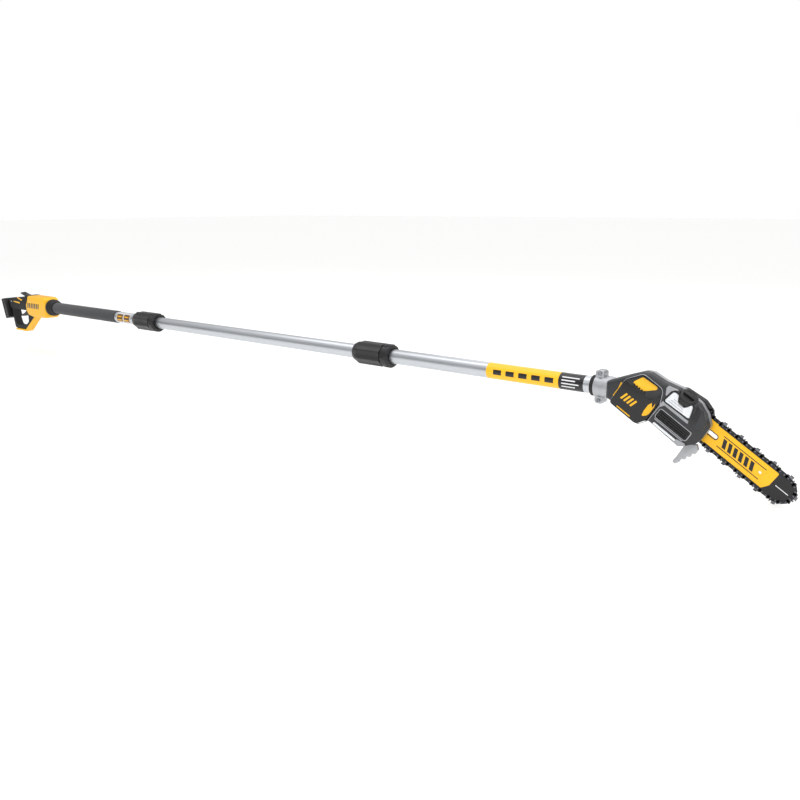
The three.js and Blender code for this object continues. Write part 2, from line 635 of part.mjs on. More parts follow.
// spur gear with trapezoid teeth; a tooth points along the given angle in degrees
function gear(teeth, centre, pointing, y0, y1) {
  const shape = new THREE.Shape();
  const pitch = (2 * Math.PI) / teeth;
  const root = pitchRadius(teeth) - 1.2 * gearModule;
  const tip = pitchRadius(teeth) + 0.7 * gearModule;
  const start = (pointing * Math.PI) / 180;
  for (let i = 0; i < teeth; i += 1) {
    const middle = start + i * pitch;
    [[root, -0.24], [tip, -0.1], [tip, 0.1], [root, 0.24]].forEach(([radius, share], k) => {
      const x = centre.x + radius * Math.cos(middle + share * pitch);
      const z = centre.z + radius * Math.sin(middle + share * pitch);
      if (i + k === 0) shape.moveTo(x, z);
      else shape.lineTo(x, z);
    });
  }
  return plate(shape, y0, y1);
}

const gearFrom = caseBack - caseFloor - 1 - gearWidth;
const gearTo = gearFrom + gearWidth;
const motorFront = caseFace - 5;
const motorBack = motorFace + motorWall + 2;

function rotor() {
  const shaft = pin(motorAt.x, motorAt.z, motorShaftRadius, motorBack, gearTo);
  const core = pin(motorAt.x, motorAt.z, rotorRadius, motorBack + 8, motorFront - 4, 24);
  return join(shaft, core, gear(pinionTeeth, motorAt, trainAngle + 180, gearFrom, gearTo));
}

function coolingFan() {
  const hub = pin(motorAt.x, motorAt.z, 8, motorBack + 0.5, motorBack + 6, 20);
  const blades = Array.from({ length: 7 }, (_, i) =>
    box3(6, statorRadius - 1.5, motorBack + 0.5, motorBack + 6, -0.8, 0.8).rotate([0, (i * 360) / 7, 0]).translate([motorAt.x, 0, motorAt.z]));
  const ring = cut(pin(motorAt.x, motorAt.z, statorRadius - 1, motorBack + 4.5, motorBack + 6, 20),
    pin(motorAt.x, motorAt.z, 12, motorBack, motorBack + 8, 20));
  return cut(join(hub, ...blades, ring), pin(motorAt.x, motorAt.z, motorShaftRadius + slideGap, motorBack, motorFront, 20));
}

function stator() {
  const from = motorBack + 8;
  const to = motorFront - 4;
  const ring = pin(motorAt.x, motorAt.z, statorRadius, from, to, poleSides);
  const slots = Array.from({ length: 6 }, (_, i) =>
    box3(rotorRadius + 2.5, statorRadius - 3, from - 1, to + 1, -2.5, 2.5).rotate([0, i * 60 + 10, 0])
      .translate([motorAt.x, 0, motorAt.z]));
  return cut(ring, pin(motorAt.x, motorAt.z, rotorRadius + 0.6, from - 1, to + 1, 24), ...slots);
}

function idlerGear() {
  const wheel = gear(idlerTeeth, idlerAt, trainAngle + 180 / idlerTeeth, gearFrom, gearTo);
  return cut(wheel, pin(idlerAt.x, idlerAt.z, idlerAxleRadius + runGap / 2, -20, 0));
}

const idlerAxle = () => join(pin(idlerAt.x, idlerAt.z, idlerAxleRadius, gearFrom - 3, gearTo + 1 - fitGap),
  pin(idlerAt.x, idlerAt.z, idlerAxleRadius + 2, gearFrom - 3, gearFrom - fitGap));

function driveGear() {
  const wheel = gear(driveTeeth, sprocketAt, trainAngle, gearFrom, gearTo);
  return cut(wheel, pin(sprocketAt.x, sprocketAt.z, sprocketShaftRadius + slideGap, -20, 0));
}

function sprocket() {
  const shaft = pin(sprocketAt.x, sprocketAt.z, sprocketShaftRadius, gearFrom - 3, barPlane + 8);
  const teeth = Array.from({ length: sprocketTeeth }, (_, i) =>
    box3(0, sprocketRadius, barPlane - 2.5, barPlane + 2.5, -2, 2).rotate([0, (i * 360) / sprocketTeeth, 0])
      .translate([sprocketAt.x, 0, sprocketAt.z]));
  return join(shaft, pin(sprocketAt.x, sprocketAt.z, sprocketRadius - 3, barPlane - 3, barPlane + 3, 24), ...teeth);
}

// outline that the chain runs round; the bar sits inside it, with its tail moved along by the slack
function chainTrack(growth, slack = 0) {
  const shape = new THREE.Shape();
  const half = barHalfWidth + growth;
  const rear = sprocketRadius + 2 + growth;
  const tip = barTip + growth;
  shape.moveTo(sprocketAt.x + slack, -rear);
  shape.lineTo(barShoulder + slack, -half);
  shape.lineTo(barNoseStart, -half);
  shape.bezierCurveTo(barNoseStart + 27, -half, tip, -half * 0.78, tip, 0);
  shape.bezierCurveTo(tip, half * 0.78, barNoseStart + 27, half, barNoseStart, half);
  shape.lineTo(barShoulder + slack, half);
  shape.lineTo(sprocketAt.x + slack, rear);
  shape.absarc(sprocketAt.x + slack, 0, rear, Math.PI / 2, (3 * Math.PI) / 2, false);
  return shape;
}

function guideBar() {
  const tail = box3(barTail, everything, -60, 60, -60, 60);
  const near = barPlane - barThickness / 2;
  const blank = plate(chainTrack(0, tensionTravel + fitGap), near, near + barThickness, { segments: 8 });
  const slot = plate([
    [barSlot.from, -barSlot.halfWidth, 4], [barSlot.to, -barSlot.halfWidth, 4],
    [barSlot.to, barSlot.halfWidth, 4], [barSlot.from, barSlot.halfWidth, 4],
  ], -10, 20);
  const hole = pin(240, 0, 3, -10, 20, 16);
  const pinHole = pin(96, -14, 3.2, -10, 20, 16);
  const noseSlot = box3(nosePlace, barTip + 1, barPlane - 1.4, barPlane + 1.4, -noseRadius, noseRadius);
  const noseWay = cut(join(pin(nosePlace, 0, noseRadius + runGap, barPlane - 1.4, barPlane + 1.4, poleSides), noseSlot),
    pin(nosePlace, 0, 2.6, barPlane - 3, barPlane + 3, 16));
  return cut(blank.intersect(tail), slot, hole, pinHole, noseWay);
}

function noseSprocket() {
  const disc = pin(nosePlace, 0, noseRadius, barPlane - 1, barPlane + 1, 24);
  return cut(disc, pin(nosePlace, 0, 2.6 + runGap, -10, 20, 16));
}

function chain() {
  const low = barPlane - chainWidth / 2;
  const high = barPlane + chainWidth / 2;
  const outer = plate(chainTrack(chainGap + chainHeight), low, high, { segments: 8 });
  const loop = cut(outer, plate(chainTrack(chainGap), low - 1, high + 1, { segments: 8 }));
  const path = chainTrack(chainGap + chainHeight);
  const cutters = Array.from({ length: cutterCount }, (_, i) => {
    const at = path.getPointAt((i + 0.5) / cutterCount);
    const along = path.getTangentAt((i + 0.5) / cutterCount);
    const angle = (-Math.atan2(along.y, along.x) * 180) / Math.PI;
    return box3(-cutterLength / 2, cutterLength / 2, low, high - 2, -cutterHeight * 1.6, cutterHeight)
      .rotate([0, angle, 0]).translate([at.x, 0, at.y]);
  });
  return join(loop, ...cutters);
}

const coverOutline = [
  [14, -44, 10], [60, -46, 8], [97, -46, 8], [114, -28, 6], [116.5, -10, 6], [115, 18, 6], [98, 38, 8], [75, 46, 8],
  [30, 42, 10], [14, 30, 10],
];

function sideCover() {
  const outer = plate(coverOutline, caseBack + fitGap, caseBack + fitGap + coverDepth, { bevel: 5, steps: 2 });
  const hollow = plate(inset(coverOutline, coverWall), -2, caseBack + coverDepth - coverWall, { bevel: 0 });
  const chainRoom = barHalfWidth + chainGap + chainHeight + cutterHeight + 3;
  const chainWay = box3(22, 160, -2, barPlane + chainWidth / 2 + 1.5, -chainRoom, chainRoom);
  const nutWay = pin(studPlace, 0, 12, caseBack + coverDepth - 6, 40, 24);
  const nutSeat = pin(studPlace, 0, 15, caseBack + coverDepth - 9, caseBack + coverDepth - 3, 24);
  const studWay = pin(studPlace, 0, studRadius + fitGap, 0, 40);
  return cut(join(cut(outer, hollow, chainWay), nutSeat.intersect(outer)), nutWay, studWay);
}

function barNut() {
  const at = caseBack + coverDepth - 6 + fitGap;
  const knob = pin(studPlace, 0, 11, at, at + 9, 6);
  return cut(knob, pin(studPlace, 0, studRadius + runGap, 0, 60));
}

const barStud = () => join(pin(studPlace, 0, studRadius, caseFace + 3, caseBack + coverDepth + 1),
  pin(studPlace, 0, studRadius + 3, caseFace + 1.5, caseBack - caseFloor - 1 - fitGap, 6));

function tensionerScrew() {
  const shank = rod(-6, -14, 2.2, 80, 112, 12);
  const headOfScrew = rod(-6, -14, 3.1, 111, 118, 12);
  return cut(join(shank, headOfScrew), box3(116.5, 120, -6.6, -5.4, -20, -8));
}

function branchHook() {
  const outline = [
    [99, -46], [118, -32], [126, -39], [127, -50], [121, -55], [123, -62], [116, -67], [118, -74], [111, -79],
    [112, -87], [107, -96, 3], [100, -95, 4], [101, -82],
  ].reverse();
  return cut(plate(outline, -11, -3, { bevel: 1 }), plate(inset(headOutline, -fitGap), -20, 10));
}

addPiece(head, 'gear_case', gearCase(), castMetal);
addPiece(head, 'clamp_cap', fromPole(clampCap()), castMetal);
addPiece(head, 'clamp_screw_top', clampScrew(1), steel);
addPiece(head, 'clamp_screw_bottom', clampScrew(-1), steel);
addPiece(head, 'tube_seal_ring', fromPole(sleeve(tubeRadius + fitGap, tubeRadius + 4, -9, -fitGap, poleSides)), rubber);
addPiece(head, 'head_shell', headShell(), darkGrey);
addPiece(head, 'motor_cover', motorCover(), black);
addPiece(head, 'front_bumper', frontBumper(), black);
addPiece(head, 'grille_panel', grillePanel(), black);
addPiece(head, 'oil_level_window', plate(windowOutline, nearFace - 0.5, nearFace + 6), white);
addPiece(head, 'oil_tank', oilTank(), white);
addPiece(head, 'oil_cap_gasket', oilCapGasket(), rubber);
addPiece(head, 'oil_cap', oilCap(), black);
addPiece(head, 'stator', stator(), copper);
addPiece(head, 'rotor', rotor(), steel);
addPiece(head, 'cooling_fan', coolingFan(), black);
addPiece(head, 'idler_gear', idlerGear(), steel);
addPiece(head, 'idler_axle', idlerAxle(), steel);
addPiece(head, 'drive_gear', driveGear(), steel);
addPiece(head, 'drive_sprocket', sprocket(), steel);
addPiece(head, 'control_board', box3(-46, -14, -24, -21, -6, 14), board);
addPiece(head, 'oil_pump', box3(24, 44, caseFace + 0.5, gearFrom - 0.5, -44, -30), black);
addPiece(head, 'guide_bar', guideBar(), yellow);
addPiece(head, 'nose_sprocket', noseSprocket(), steel);
addPiece(head, 'saw_chain', chain(), steel);
addPiece(head, 'bar_stud', barStud(), steel);
addPiece(head, 'tensioner_screw', tensionerScrew(), steel);
addPiece(head, 'side_cover', sideCover(), black);
addPiece(head, 'bar_nut', barNut(), black);
addPiece(head, 'branch_hook', branchHook(), castMetal);

export default poleSaw;
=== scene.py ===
# Cordless pole saw: the finished surfaces round its fixed mechanical frame.
# Piece sizes are in millimetres and are turned to metres as each mesh is made.
import json
import math
import bmesh
import bpy
from mathutils import Matrix, Vector


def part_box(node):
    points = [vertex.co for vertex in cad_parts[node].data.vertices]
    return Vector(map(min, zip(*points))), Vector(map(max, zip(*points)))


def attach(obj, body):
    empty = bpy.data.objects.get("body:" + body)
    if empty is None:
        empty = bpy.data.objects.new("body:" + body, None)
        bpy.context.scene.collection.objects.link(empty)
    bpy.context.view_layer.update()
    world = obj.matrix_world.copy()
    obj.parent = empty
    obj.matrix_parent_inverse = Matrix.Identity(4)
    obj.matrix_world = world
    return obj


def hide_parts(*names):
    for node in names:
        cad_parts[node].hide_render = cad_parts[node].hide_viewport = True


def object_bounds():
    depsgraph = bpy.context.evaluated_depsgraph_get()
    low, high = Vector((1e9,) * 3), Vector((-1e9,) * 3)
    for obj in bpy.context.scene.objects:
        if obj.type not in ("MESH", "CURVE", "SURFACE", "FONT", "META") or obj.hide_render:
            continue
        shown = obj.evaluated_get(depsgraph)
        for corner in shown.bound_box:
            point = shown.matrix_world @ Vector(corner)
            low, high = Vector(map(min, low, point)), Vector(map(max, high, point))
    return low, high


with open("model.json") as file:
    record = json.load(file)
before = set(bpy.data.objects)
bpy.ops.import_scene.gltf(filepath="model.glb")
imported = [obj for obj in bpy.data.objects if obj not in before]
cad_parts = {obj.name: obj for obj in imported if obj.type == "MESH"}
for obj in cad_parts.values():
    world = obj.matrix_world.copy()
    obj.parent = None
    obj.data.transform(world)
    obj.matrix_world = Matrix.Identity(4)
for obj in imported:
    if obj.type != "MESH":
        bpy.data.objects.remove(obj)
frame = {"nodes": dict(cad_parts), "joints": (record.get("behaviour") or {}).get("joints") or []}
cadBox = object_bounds()
mm = 0.001
seam = 0.3  # between two shells that meet

joints = {joint["name"]: joint for joint in frame["joints"]}
sprocketReach = 50  # from the head's own origin to the sprocket, along the bar
barWay = Vector(joints["bar_tension"]["axis"])
barLean = math.atan2(-barWay.z, barWay.x)
headOrigin = Vector(joints["sprocket_spin"]["pos_m"]) - barWay * sprocketReach * mm
headPlace = Matrix.Translation(headOrigin) @ Matrix.Rotation(barLean, 4, "Y")
handlePlace = Matrix.Translation((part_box("pole_socket_ring")[0].x - seam * mm, 0, 0))
ownPlace = Matrix.Identity(4)  # the pole lies along X, so its own frame is the object's
clampPlace = Matrix.Translation((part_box("clamp_cap")[0].x, 0, 0))


def span(node):
    low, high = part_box(node)
    return low.x / mm, high.x / mm


# nodes and finishes

def addNode(tree, kind, inputs=None, **settings):
    node = tree.nodes.new(kind)
    for name, value in settings.items():
        setattr(node, name, value)
    for socket, value in (inputs or {}).items():
        if isinstance(value, bpy.types.NodeSocket):
            tree.links.new(value, node.inputs[socket])
        else:
            node.inputs[socket].default_value = value
    return node


def linear(hexColour):
    parts = [int(hexColour[i:i + 2], 16) / 255 for i in (1, 3, 5)]
    return tuple(v / 12.92 if v <= 0.04045 else ((v + 0.055) / 1.055) ** 2.4 for v in parts) + (1.0,)


def startFinish(name, hexColour, roughness, metallic=0.0):
    material = bpy.data.materials.new(name)
    material.use_nodes = True
    tree = material.node_tree
    tree.nodes.clear()
    shader = addNode(tree, "ShaderNodeBsdfPrincipled", {
        "Base Color": linear(hexColour), "Roughness": roughness, "Metallic": metallic})
    addNode(tree, "ShaderNodeOutputMaterial", {"Surface": shader.outputs[0]})
    place = addNode(tree, "ShaderNodeTexCoord").outputs["Object"]
    return material, tree, shader, place


def mottle(tree, shader, place, size, dark, light, roughLow, roughHigh):
    # a slow drift of colour and gloss over the surface, size in millimetres
    noise = addNode(tree, "ShaderNodeTexNoise", {"Vector": place, "Scale": 1000 / size, "Detail": 3.0})
    tint = addNode(tree, "ShaderNodeMix", {0: noise.outputs[0], 6: linear(dark), 7: linear(light)},
                   data_type="RGBA")
    gloss = addNode(tree, "ShaderNodeMapRange",
                    {0: noise.outputs[0], 1: 0.3, 2: 0.7, 3: roughLow, 4: roughHigh})
    tree.links.new(tint.outputs[2], shader.inputs["Base Color"])
    tree.links.new(gloss.outputs[0], shader.inputs["Roughness"])


def grain(tree, shader, place, size, depth, strength=0.6):
    # moulded or cast grain, size and depth in millimetres
    noise = addNode(tree, "ShaderNodeTexNoise", {"Vector": place, "Scale": 1000 / size, "Detail": 2.0})
    bump = addNode(tree, "ShaderNodeBump",
                   {"Height": noise.outputs[0], "Strength": strength, "Distance": depth * mm})
    tree.links.new(bump.outputs[0], shader.inputs["Normal"])


def mouldedPlastic(name, dark, light, roughLow, roughHigh, grainSize=0.5, grainDepth=0.05):
    material, tree, shader, place = startFinish(name, light, roughHigh)
    mottle(tree, shader, place, 45, dark, light, roughLow, roughHigh)
    grain(tree, shader, place, grainSize, grainDepth)
    return material


def plainMetal(name, dark, light, roughLow, roughHigh, grainSize, grainDepth):
    material, tree, shader, place = startFinish(name, light, roughHigh, 1.0)
    mottle(tree, shader, place, 12, dark, light, roughLow, roughHigh)
    grain(tree, shader, place, grainSize, grainDepth)
    return material


def drawnAluminium():
    # drawn tube, satin anodised: fine lengthwise die lines blur the highlight across the pole
    material, tree, shader, place = startFinish("satin_anodised_aluminium", "#c4c7cb", 0.32, 1.0)
    lines = addNode(tree, "ShaderNodeMapping", {"Vector": place, "Scale": (0.012, 1, 1)})
    streaks = addNode(tree, "ShaderNodeTexNoise",
                      {"Vector": lines.outputs[0], "Scale": 900.0, "Detail": 4.0})
    tint = addNode(tree, "ShaderNodeMix",
                   {0: streaks.outputs[0], 6: linear("#b3b6bb"), 7: linear("#d3d6da")}, data_type="RGBA")
    gloss = addNode(tree, "ShaderNodeMapRange", {0: streaks.outputs[0], 1: 0.3, 2: 0.7, 3: 0.27, 4: 0.42})
    bump = addNode(tree, "ShaderNodeBump",
                   {"Height": streaks.outputs[0], "Strength": 0.25, "Distance": 0.03 * mm})
    tree.links.new(tint.outputs[2], shader.inputs["Base Color"])
    tree.links.new(gloss.outputs[0], shader.inputs["Roughness"])
    tree.links.new(bump.outputs[0], shader.inputs["Normal"])
    return material


def evaFoam():
    # closed-cell EVA foam: matt charcoal skin with open pores about 0.6 mm across
    material, tree, shader, place = startFinish("eva_foam", "#38393b", 0.92)
    shader.inputs["Sheen Weight"].default_value = 0.12
    mottle(tree, shader, place, 20, "#303133", "#424346", 0.86, 0.96)
    cells = addNode(tree, "ShaderNodeTexVoronoi", {"Vector": place, "Scale": 1000 / 0.9})
    bump = addNode(tree, "ShaderNodeBump",
                   {"Height": cells.outputs[0], "Strength": 0.7, "Distance": 0.18 * mm})
    tree.links.new(bump.outputs[0], shader.inputs["Normal"])
    return material


def clearTank():
    # blow-moulded polyethylene: milky, with light carried a few millimetres in
    material, tree, shader, place = startFinish("milky_polyethylene", "#dfe2e6", 0.35)
    shader.inputs["Subsurface Weight"].default_value = 0.25
    shader.inputs["Subsurface Radius"].default_value = (0.004, 0.004, 0.005)
    mottle(tree, shader, place, 30, "#d2d6db", "#eceef1", 0.3, 0.42)
    grain(tree, shader, place, 1.5, 0.05, 0.4)
    return material


finishes = {
    # ABS shells with a fine spark-eroded grain
    "yellow": mouldedPlastic("moulded_yellow_abs", "#ebab02", "#f4bb08", 0.32, 0.44),
    # glass-filled nylon for what is knocked about: covers, collars, dock
    "black": mouldedPlastic("moulded_black_nylon", "#0f0f11", "#17171a", 0.36, 0.5),
    # polished ABS of the motor cover, and black enamel on the bar
    "gloss": mouldedPlastic("gloss_black_abs", "#08080a", "#0f0f11", 0.2, 0.32, 0.8, 0.02),
    # the head's side shell
    "darkGrey": mouldedPlastic("moulded_dark_grey_nylon", "#232427", "#2e2f32", 0.36, 0.5),
    # painted highlight: light grey lines on the edges between the head's panels stand in for the light caught
    # there; the same grey serves the grip dot and the oil level marks
    "lightGrey": mouldedPlastic("mid_grey_abs_and_painted_edge_highlight", "#8b8d91", "#a3a5a9", 0.35, 0.48),
    # thermoplastic rubber moulded over the grip: dead matt
    "rubber": mouldedPlastic("overmoulded_rubber", "#121214", "#1a1a1d", 0.6, 0.75, 0.7, 0.09),
    # the front grip's foam sleeve
    "foam": evaFoam(),
    # all three pole sections
    "tube": drawnAluminium(),
    # pressure die cast and tumbled: pearly, slightly rough
    "cast": plainMetal("die_cast_aluminium", "#a2a4a8", "#c6c8cb", 0.42, 0.58, 1.1, 0.12),
    # screws, shafts and gears
    "steel": plainMetal("zinc_plated_steel", "#8b8e93", "#a9acb1", 0.28, 0.42, 0.8, 0.03),
    # the chain's plates, oiled
    "chain": plainMetal("blued_chain_steel", "#2c2d30", "#4c4d51", 0.34, 0.5, 0.9, 0.04),
    # the chain's teeth and rivets
    "cutter": plainMetal("chromed_cutter_steel", "#5c5e63", "#8b8d92", 0.24, 0.38, 0.9, 0.03),
    # motor windings
    "copper": plainMetal("enamelled_copper_wire", "#9a4f24", "#c0713c", 0.3, 0.42, 0.6, 0.2),
    # circuit board under green lacquer
    "board": mouldedPlastic("solder_masked_board", "#164a2c", "#1f5c39", 0.3, 0.42, 2.0, 0.05),
    # baked enamel on ground steel
    "bar": mouldedPlastic("enamelled_bar_steel", "#f2b306", "#fbc010", 0.3, 0.45, 0.4, 0.02),
    # oil tank and its level window
    "tank": clearTank(),
    # polyester film stuck on the tubes: two colours of base
    "filmYellow": mouldedPlastic("printed_yellow_film", "#f3b20c", "#fcc018", 0.28, 0.38, 3.0, 0.01),
    "filmBlack": mouldedPlastic("printed_black_film", "#161618", "#1e1e20", 0.25, 0.36, 3.0, 0.01),
    # clear film with the aluminium showing through
    "filmClear": mouldedPlastic("clear_film_on_tube", "#b9bbbd", "#cfd1d3", 0.2, 0.32, 3.0, 0.01),
    # screen-printed ink on those films
    "filmBronze": mouldedPlastic("bronze_print", "#5e4212", "#a06a10", 0.28, 0.4, 3.0, 0.01),
    "filmWhite": mouldedPlastic("white_print", "#d9dadc", "#e8e9ea", 0.3, 0.42, 3.0, 0.01),
}
print("finishes made:", len(finishes))


# meshes

def newPiece(name, points, faces, place, finish, sharp=38):
    mesh = bpy.data.meshes.new(name)
    mesh.from_pydata([place @ (Vector(point) * mm) for point in points], [], faces)
    shape = bmesh.new()
    shape.from_mesh(mesh)
    bmesh.ops.remove_doubles(shape, verts=shape.verts, dist=2e-6)
    bmesh.ops.recalc_face_normals(shape, faces=shape.faces)
    shape.to_mesh(mesh)
    shape.free()
    piece = bpy.data.objects.new(name, mesh)
    bpy.context.scene.collection.objects.link(piece)
    mesh.materials.append(finishes[finish])
    return smoothed(piece, sharp)


def smoothed(piece, sharp=38):
    piece.data.shade_smooth()
    piece.data.set_sharp_from_angle(angle=math.radians(sharp))
    return piece


def settle(piece):
    # keeps what the modifiers make and removes them
    graph = bpy.context.evaluated_depsgraph_get()
    graph.update()
    made = bpy.data.meshes.new_from_object(piece.evaluated_get(graph))
    piece.modifiers.clear()
    old = piece.data
    piece.data = made
    bpy.data.meshes.remove(old)
    return piece


def carve(piece, *tools, operation="DIFFERENCE"):
    for tool in tools:
        cutter = piece.modifiers.new("carve", "BOOLEAN")
        cutter.object = tool
        cutter.operation = operation
        cutter.solver = "EXACT"
    settle(piece)
    for tool in tools:
        bpy.data.objects.remove(tool)
    return smoothed(piece)


def soften(piece, width, steps=3, angle=34, sharp=38):
    edge = piece.modifiers.new("edge", "BEVEL")
    edge.width = width * mm
    edge.segments = steps
    edge.limit_method = "ANGLE"
    edge.angle_limit = math.radians(angle)
    return smoothed(settle(piece), sharp)


def merge(name, pieces):
    shape = bmesh.new()
    slots = []
    for piece in pieces:
        start = len(slots)
        slots.extend(piece.data.materials)
        before = len(shape.faces)
        shape.from_mesh(piece.data)
        shape.faces.ensure_lookup_table()
        for face in shape.faces[before:]:
            face.material_index += start
    mesh = bpy.data.meshes.new(name)
    unique = list(dict.fromkeys(slots))
    for face in shape.faces:
        face.material_index = unique.index(slots[face.material_index])
    shape.to_mesh(mesh)
    shape.free()
    for finish in unique:
        mesh.materials.append(finish)
    for piece in pieces:
        bpy.data.objects.remove(piece)
    whole = bpy.data.objects.new(name, mesh)
    bpy.context.scene.collection.objects.link(whole)
    return whole


def filletOutline(corners, radius, inset=0.0, steps=5):
    # corners are (x, z) or (x, z, own radius); round corners stay concentric as the outline is drawn in
    area = sum(a[0] * b[1] - b[0] * a[1] for a, b in zip(corners, corners[1:] + corners[:1]))
    ordered = corners if area > 0 else corners[::-1]
    points = []
    for i, corner in enumerate(ordered):
        here = Vector(corner[:2])
        back = Vector(ordered[i - 1][:2]) - here
        ahead = Vector(ordered[(i + 1) % len(ordered)][:2]) - here
        lengths = back.length, ahead.length
        back.normalize()
        ahead.normalize()
        half = back.angle(ahead) / 2
        middle = (back + ahead).normalized()
        own = corner[2] if len(corner) > 2 else radius
        turn = min(own, 0.48 * min(lengths) * math.tan(half))
        if back.x * ahead.y - back.y * ahead.x < 0:
            turn = max(turn - inset, 0.0)
            centre = here + middle * (inset + turn) / math.sin(half)
        else:
            turn += inset
            centre = here + middle * (turn - inset) / math.sin(half)
        start = -(middle - back * middle.dot(back)).normalized()
        sweep = math.pi - 2 * half
        side = -(middle - ahead * middle.dot(ahead)).normalized()
        for k in range(steps + 1):
            share = k / steps
            if sweep < 1e-4:
                way = start
            else:
                between = start * math.sin((1 - share) * sweep) + side * math.sin(share * sweep)
                way = between / math.sin(sweep)
            points.append(centre + way * turn)
    return points


def quarter(radius, steps):
    return [(radius * (1 - math.cos(math.pi / 2 * k / steps)),
             radius * (1 - math.sin(math.pi / 2 * k / steps)))
            for k in range(steps + 1)]


def rounded(y0, y1, near, far=None, steps=4):
    # (station, inset) pairs of a slab with a rounded edge on each face
    far = near if far is None else far
    return [(y0 + depth, inset) for depth, inset in quarter(near, steps)] + [
        (y1 - depth, inset) for depth, inset in reversed(quarter(far, steps))]


def flared(y0, y1, radius):
    # the same for a tool that cuts a hole with rounded rims
    rims = [(y, -inset) for y, inset in rounded(y0, y1, radius)]
    return [(y0 - 3, -radius)] + rims + [(y1 + 3, -radius)]


def loft(name, corners, sections, place, finish, radius=0.0, steps=5, drop=None):
    rings = []
    for y, inset in sections:
        rings.append([(p.x, y + (drop(p.x, p.y) if drop else 0), p.y)
                      for p in filletOutline(corners, radius, inset, steps)])
    count = len(rings[0])
    points = [point for ring in rings for point in ring]
    faces = [tuple(range(count)), tuple(reversed(range(len(points) - count, len(points))))]
    for r in range(len(rings) - 1):
        for k in range(count):
            n = (k + 1) % count
            faces.append((r * count + k, r * count + n, (r + 1) * count + n, (r + 1) * count + k))
    return newPiece(name, points, faces, place, finish)


def turned(name, profile, place, finish, sides=96, steps=4, shape=None, sharp=38):
    # a closed profile of (x, r) or (x, r, own radius) corners turned about X
    outline = filletOutline(profile, 0.0, 0.0, steps)
    count = len(outline)
    points = []
    for k in range(sides):
        angle = 2 * math.pi * k / sides
        for p in outline:
            r = shape(p.x, p.y, angle) if shape else p.y
            points.append((p.x, r * math.cos(angle), r * math.sin(angle)))
    faces = []
    for k in range(sides):
        n = (k + 1) % sides
        for i in range(count):
            j = (i + 1) % count
            faces.append((k * count + i, k * count + j, n * count + j, n * count + i))
    return newPiece(name, points, faces, place, finish, sharp)


def sleeve(name, inner, outer, x0, x1, place, finish, radius=0.4):
    corners = [(x0, inner), (x1, inner), (x1, outer, radius), (x0, outer, radius)]
    return turned(name, corners, place, finish)


def box(name, x0, x1, y0, y1, z0, z1, place, finish, edge=0.0):
    return loft(name, [(x0, z0), (x1, z0), (x1, z1), (x0, z1)], rounded(y0, y1, edge, steps=2), place,
                finish, edge, 2)


def pin(name, x, z, radius, y0, y1, place, finish, edge=0.0, sides=48):
    ring = [(x + radius * math.cos(2 * math.pi * k / sides), z + radius * math.sin(2 * math.pi * k / sides))
            for k in range(sides)]
    return loft(name, ring, rounded(y0, y1, edge, steps=2), place, finish, 0.0, 1)


def socketScrew(s, n, y, facing, place):
    # button-head screw with a hexagon socket
    top = pin("screw", s, n, 3.6, *sorted((y - facing * 1.5, y + facing * 1.9)), place, "steel", 0.7, 32)
    return carve(top, pin("socket", s, n, 1.7, *sorted((y + facing * 0.6, y + facing * 4)), place, "steel",
                          sides=6))


def settled(piece, body, slot, *nodes):
    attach(piece, body)
    if nodes:
        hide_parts(*nodes)
    return piece


# repeats made with geometry nodes

def repeatTree(name, turning):
    # puts copies of the incoming mesh in a row, or in a ring about X
    tree = bpy.data.node_groups.new(name, "GeometryNodeTree")
    for label, kind in (("Geometry", "Geometry"), ("Count", "Int"), ("Step", "Vector"),
                        ("Finish", "Material")):
        tree.interface.new_socket(name=label, in_out="INPUT", socket_type="NodeSocket" + kind)
    tree.interface.new_socket(name="Geometry", in_out="OUTPUT", socket_type="NodeSocketGeometry")
    given = addNode(tree, "NodeGroupInput")
    index = addNode(tree, "GeometryNodeInputIndex").outputs[0]
    points = addNode(tree, "GeometryNodePoints", {"Count": given.outputs["Count"]})
    amount = addNode(tree, "ShaderNodeVectorMath", {0: given.outputs["Step"], "Scale": index},
                     operation="SCALE")
    copies = {"Points": points.outputs[0], "Instance": given.outputs["Geometry"]}
    if turning:
        spun = addNode(tree, "FunctionNodeEulerToRotation", {0: amount.outputs[0]})
        copies["Rotation"] = spun.outputs[0]
    else:
        moved = addNode(tree, "GeometryNodeSetPosition",
                        {"Geometry": points.outputs[0], "Offset": amount.outputs[0]})
        copies["Points"] = moved.outputs[0]
    placed = addNode(tree, "GeometryNodeInstanceOnPoints", copies)
    real = addNode(tree, "GeometryNodeRealizeInstances", {0: placed.outputs[0]})
    coated = addNode(tree, "GeometryNodeSetMaterial",
                     {"Geometry": real.outputs[0], "Material": given.outputs["Finish"]})
    addNode(tree, "NodeGroupOutput", {0: coated.outputs[0]})
    return tree


trees = {"row": repeatTree("row_of_copies", False), "ring": repeatTree("ring_of_copies", True)}


def repeated(piece, kind, count, step, finish, place):
    # the piece is made in its own frame, repeated there, then put in place
    tree = trees[kind]
    maker = piece.modifiers.new(kind, "NODES")
    maker.node_group = tree
    values = {"Count": count, "Step": Vector(step), "Finish": finishes[finish]}
    for item in tree.interface.items_tree:
        if item.in_out == "INPUT" and item.name in values:
            maker[item.identifier] = values[item.name]
    settle(piece)
    piece.data.transform(place)
    return smoothed(piece)


# camera, light and floor
studio = {
    "eye": (2.7966, -1.6156, 0.3852), "azimuth": 38.99, "elevation": 13.494, "roll": -0.235, "lens": 36.76,
    "floorDrop": 0.004, "floorSize": 60.0, "floorColour": "#f7f7f6", "horizonLight": 0.12,
    "zenithLight": 1.1, "skyFill": 1.06, "skySeen": 1.0,
}


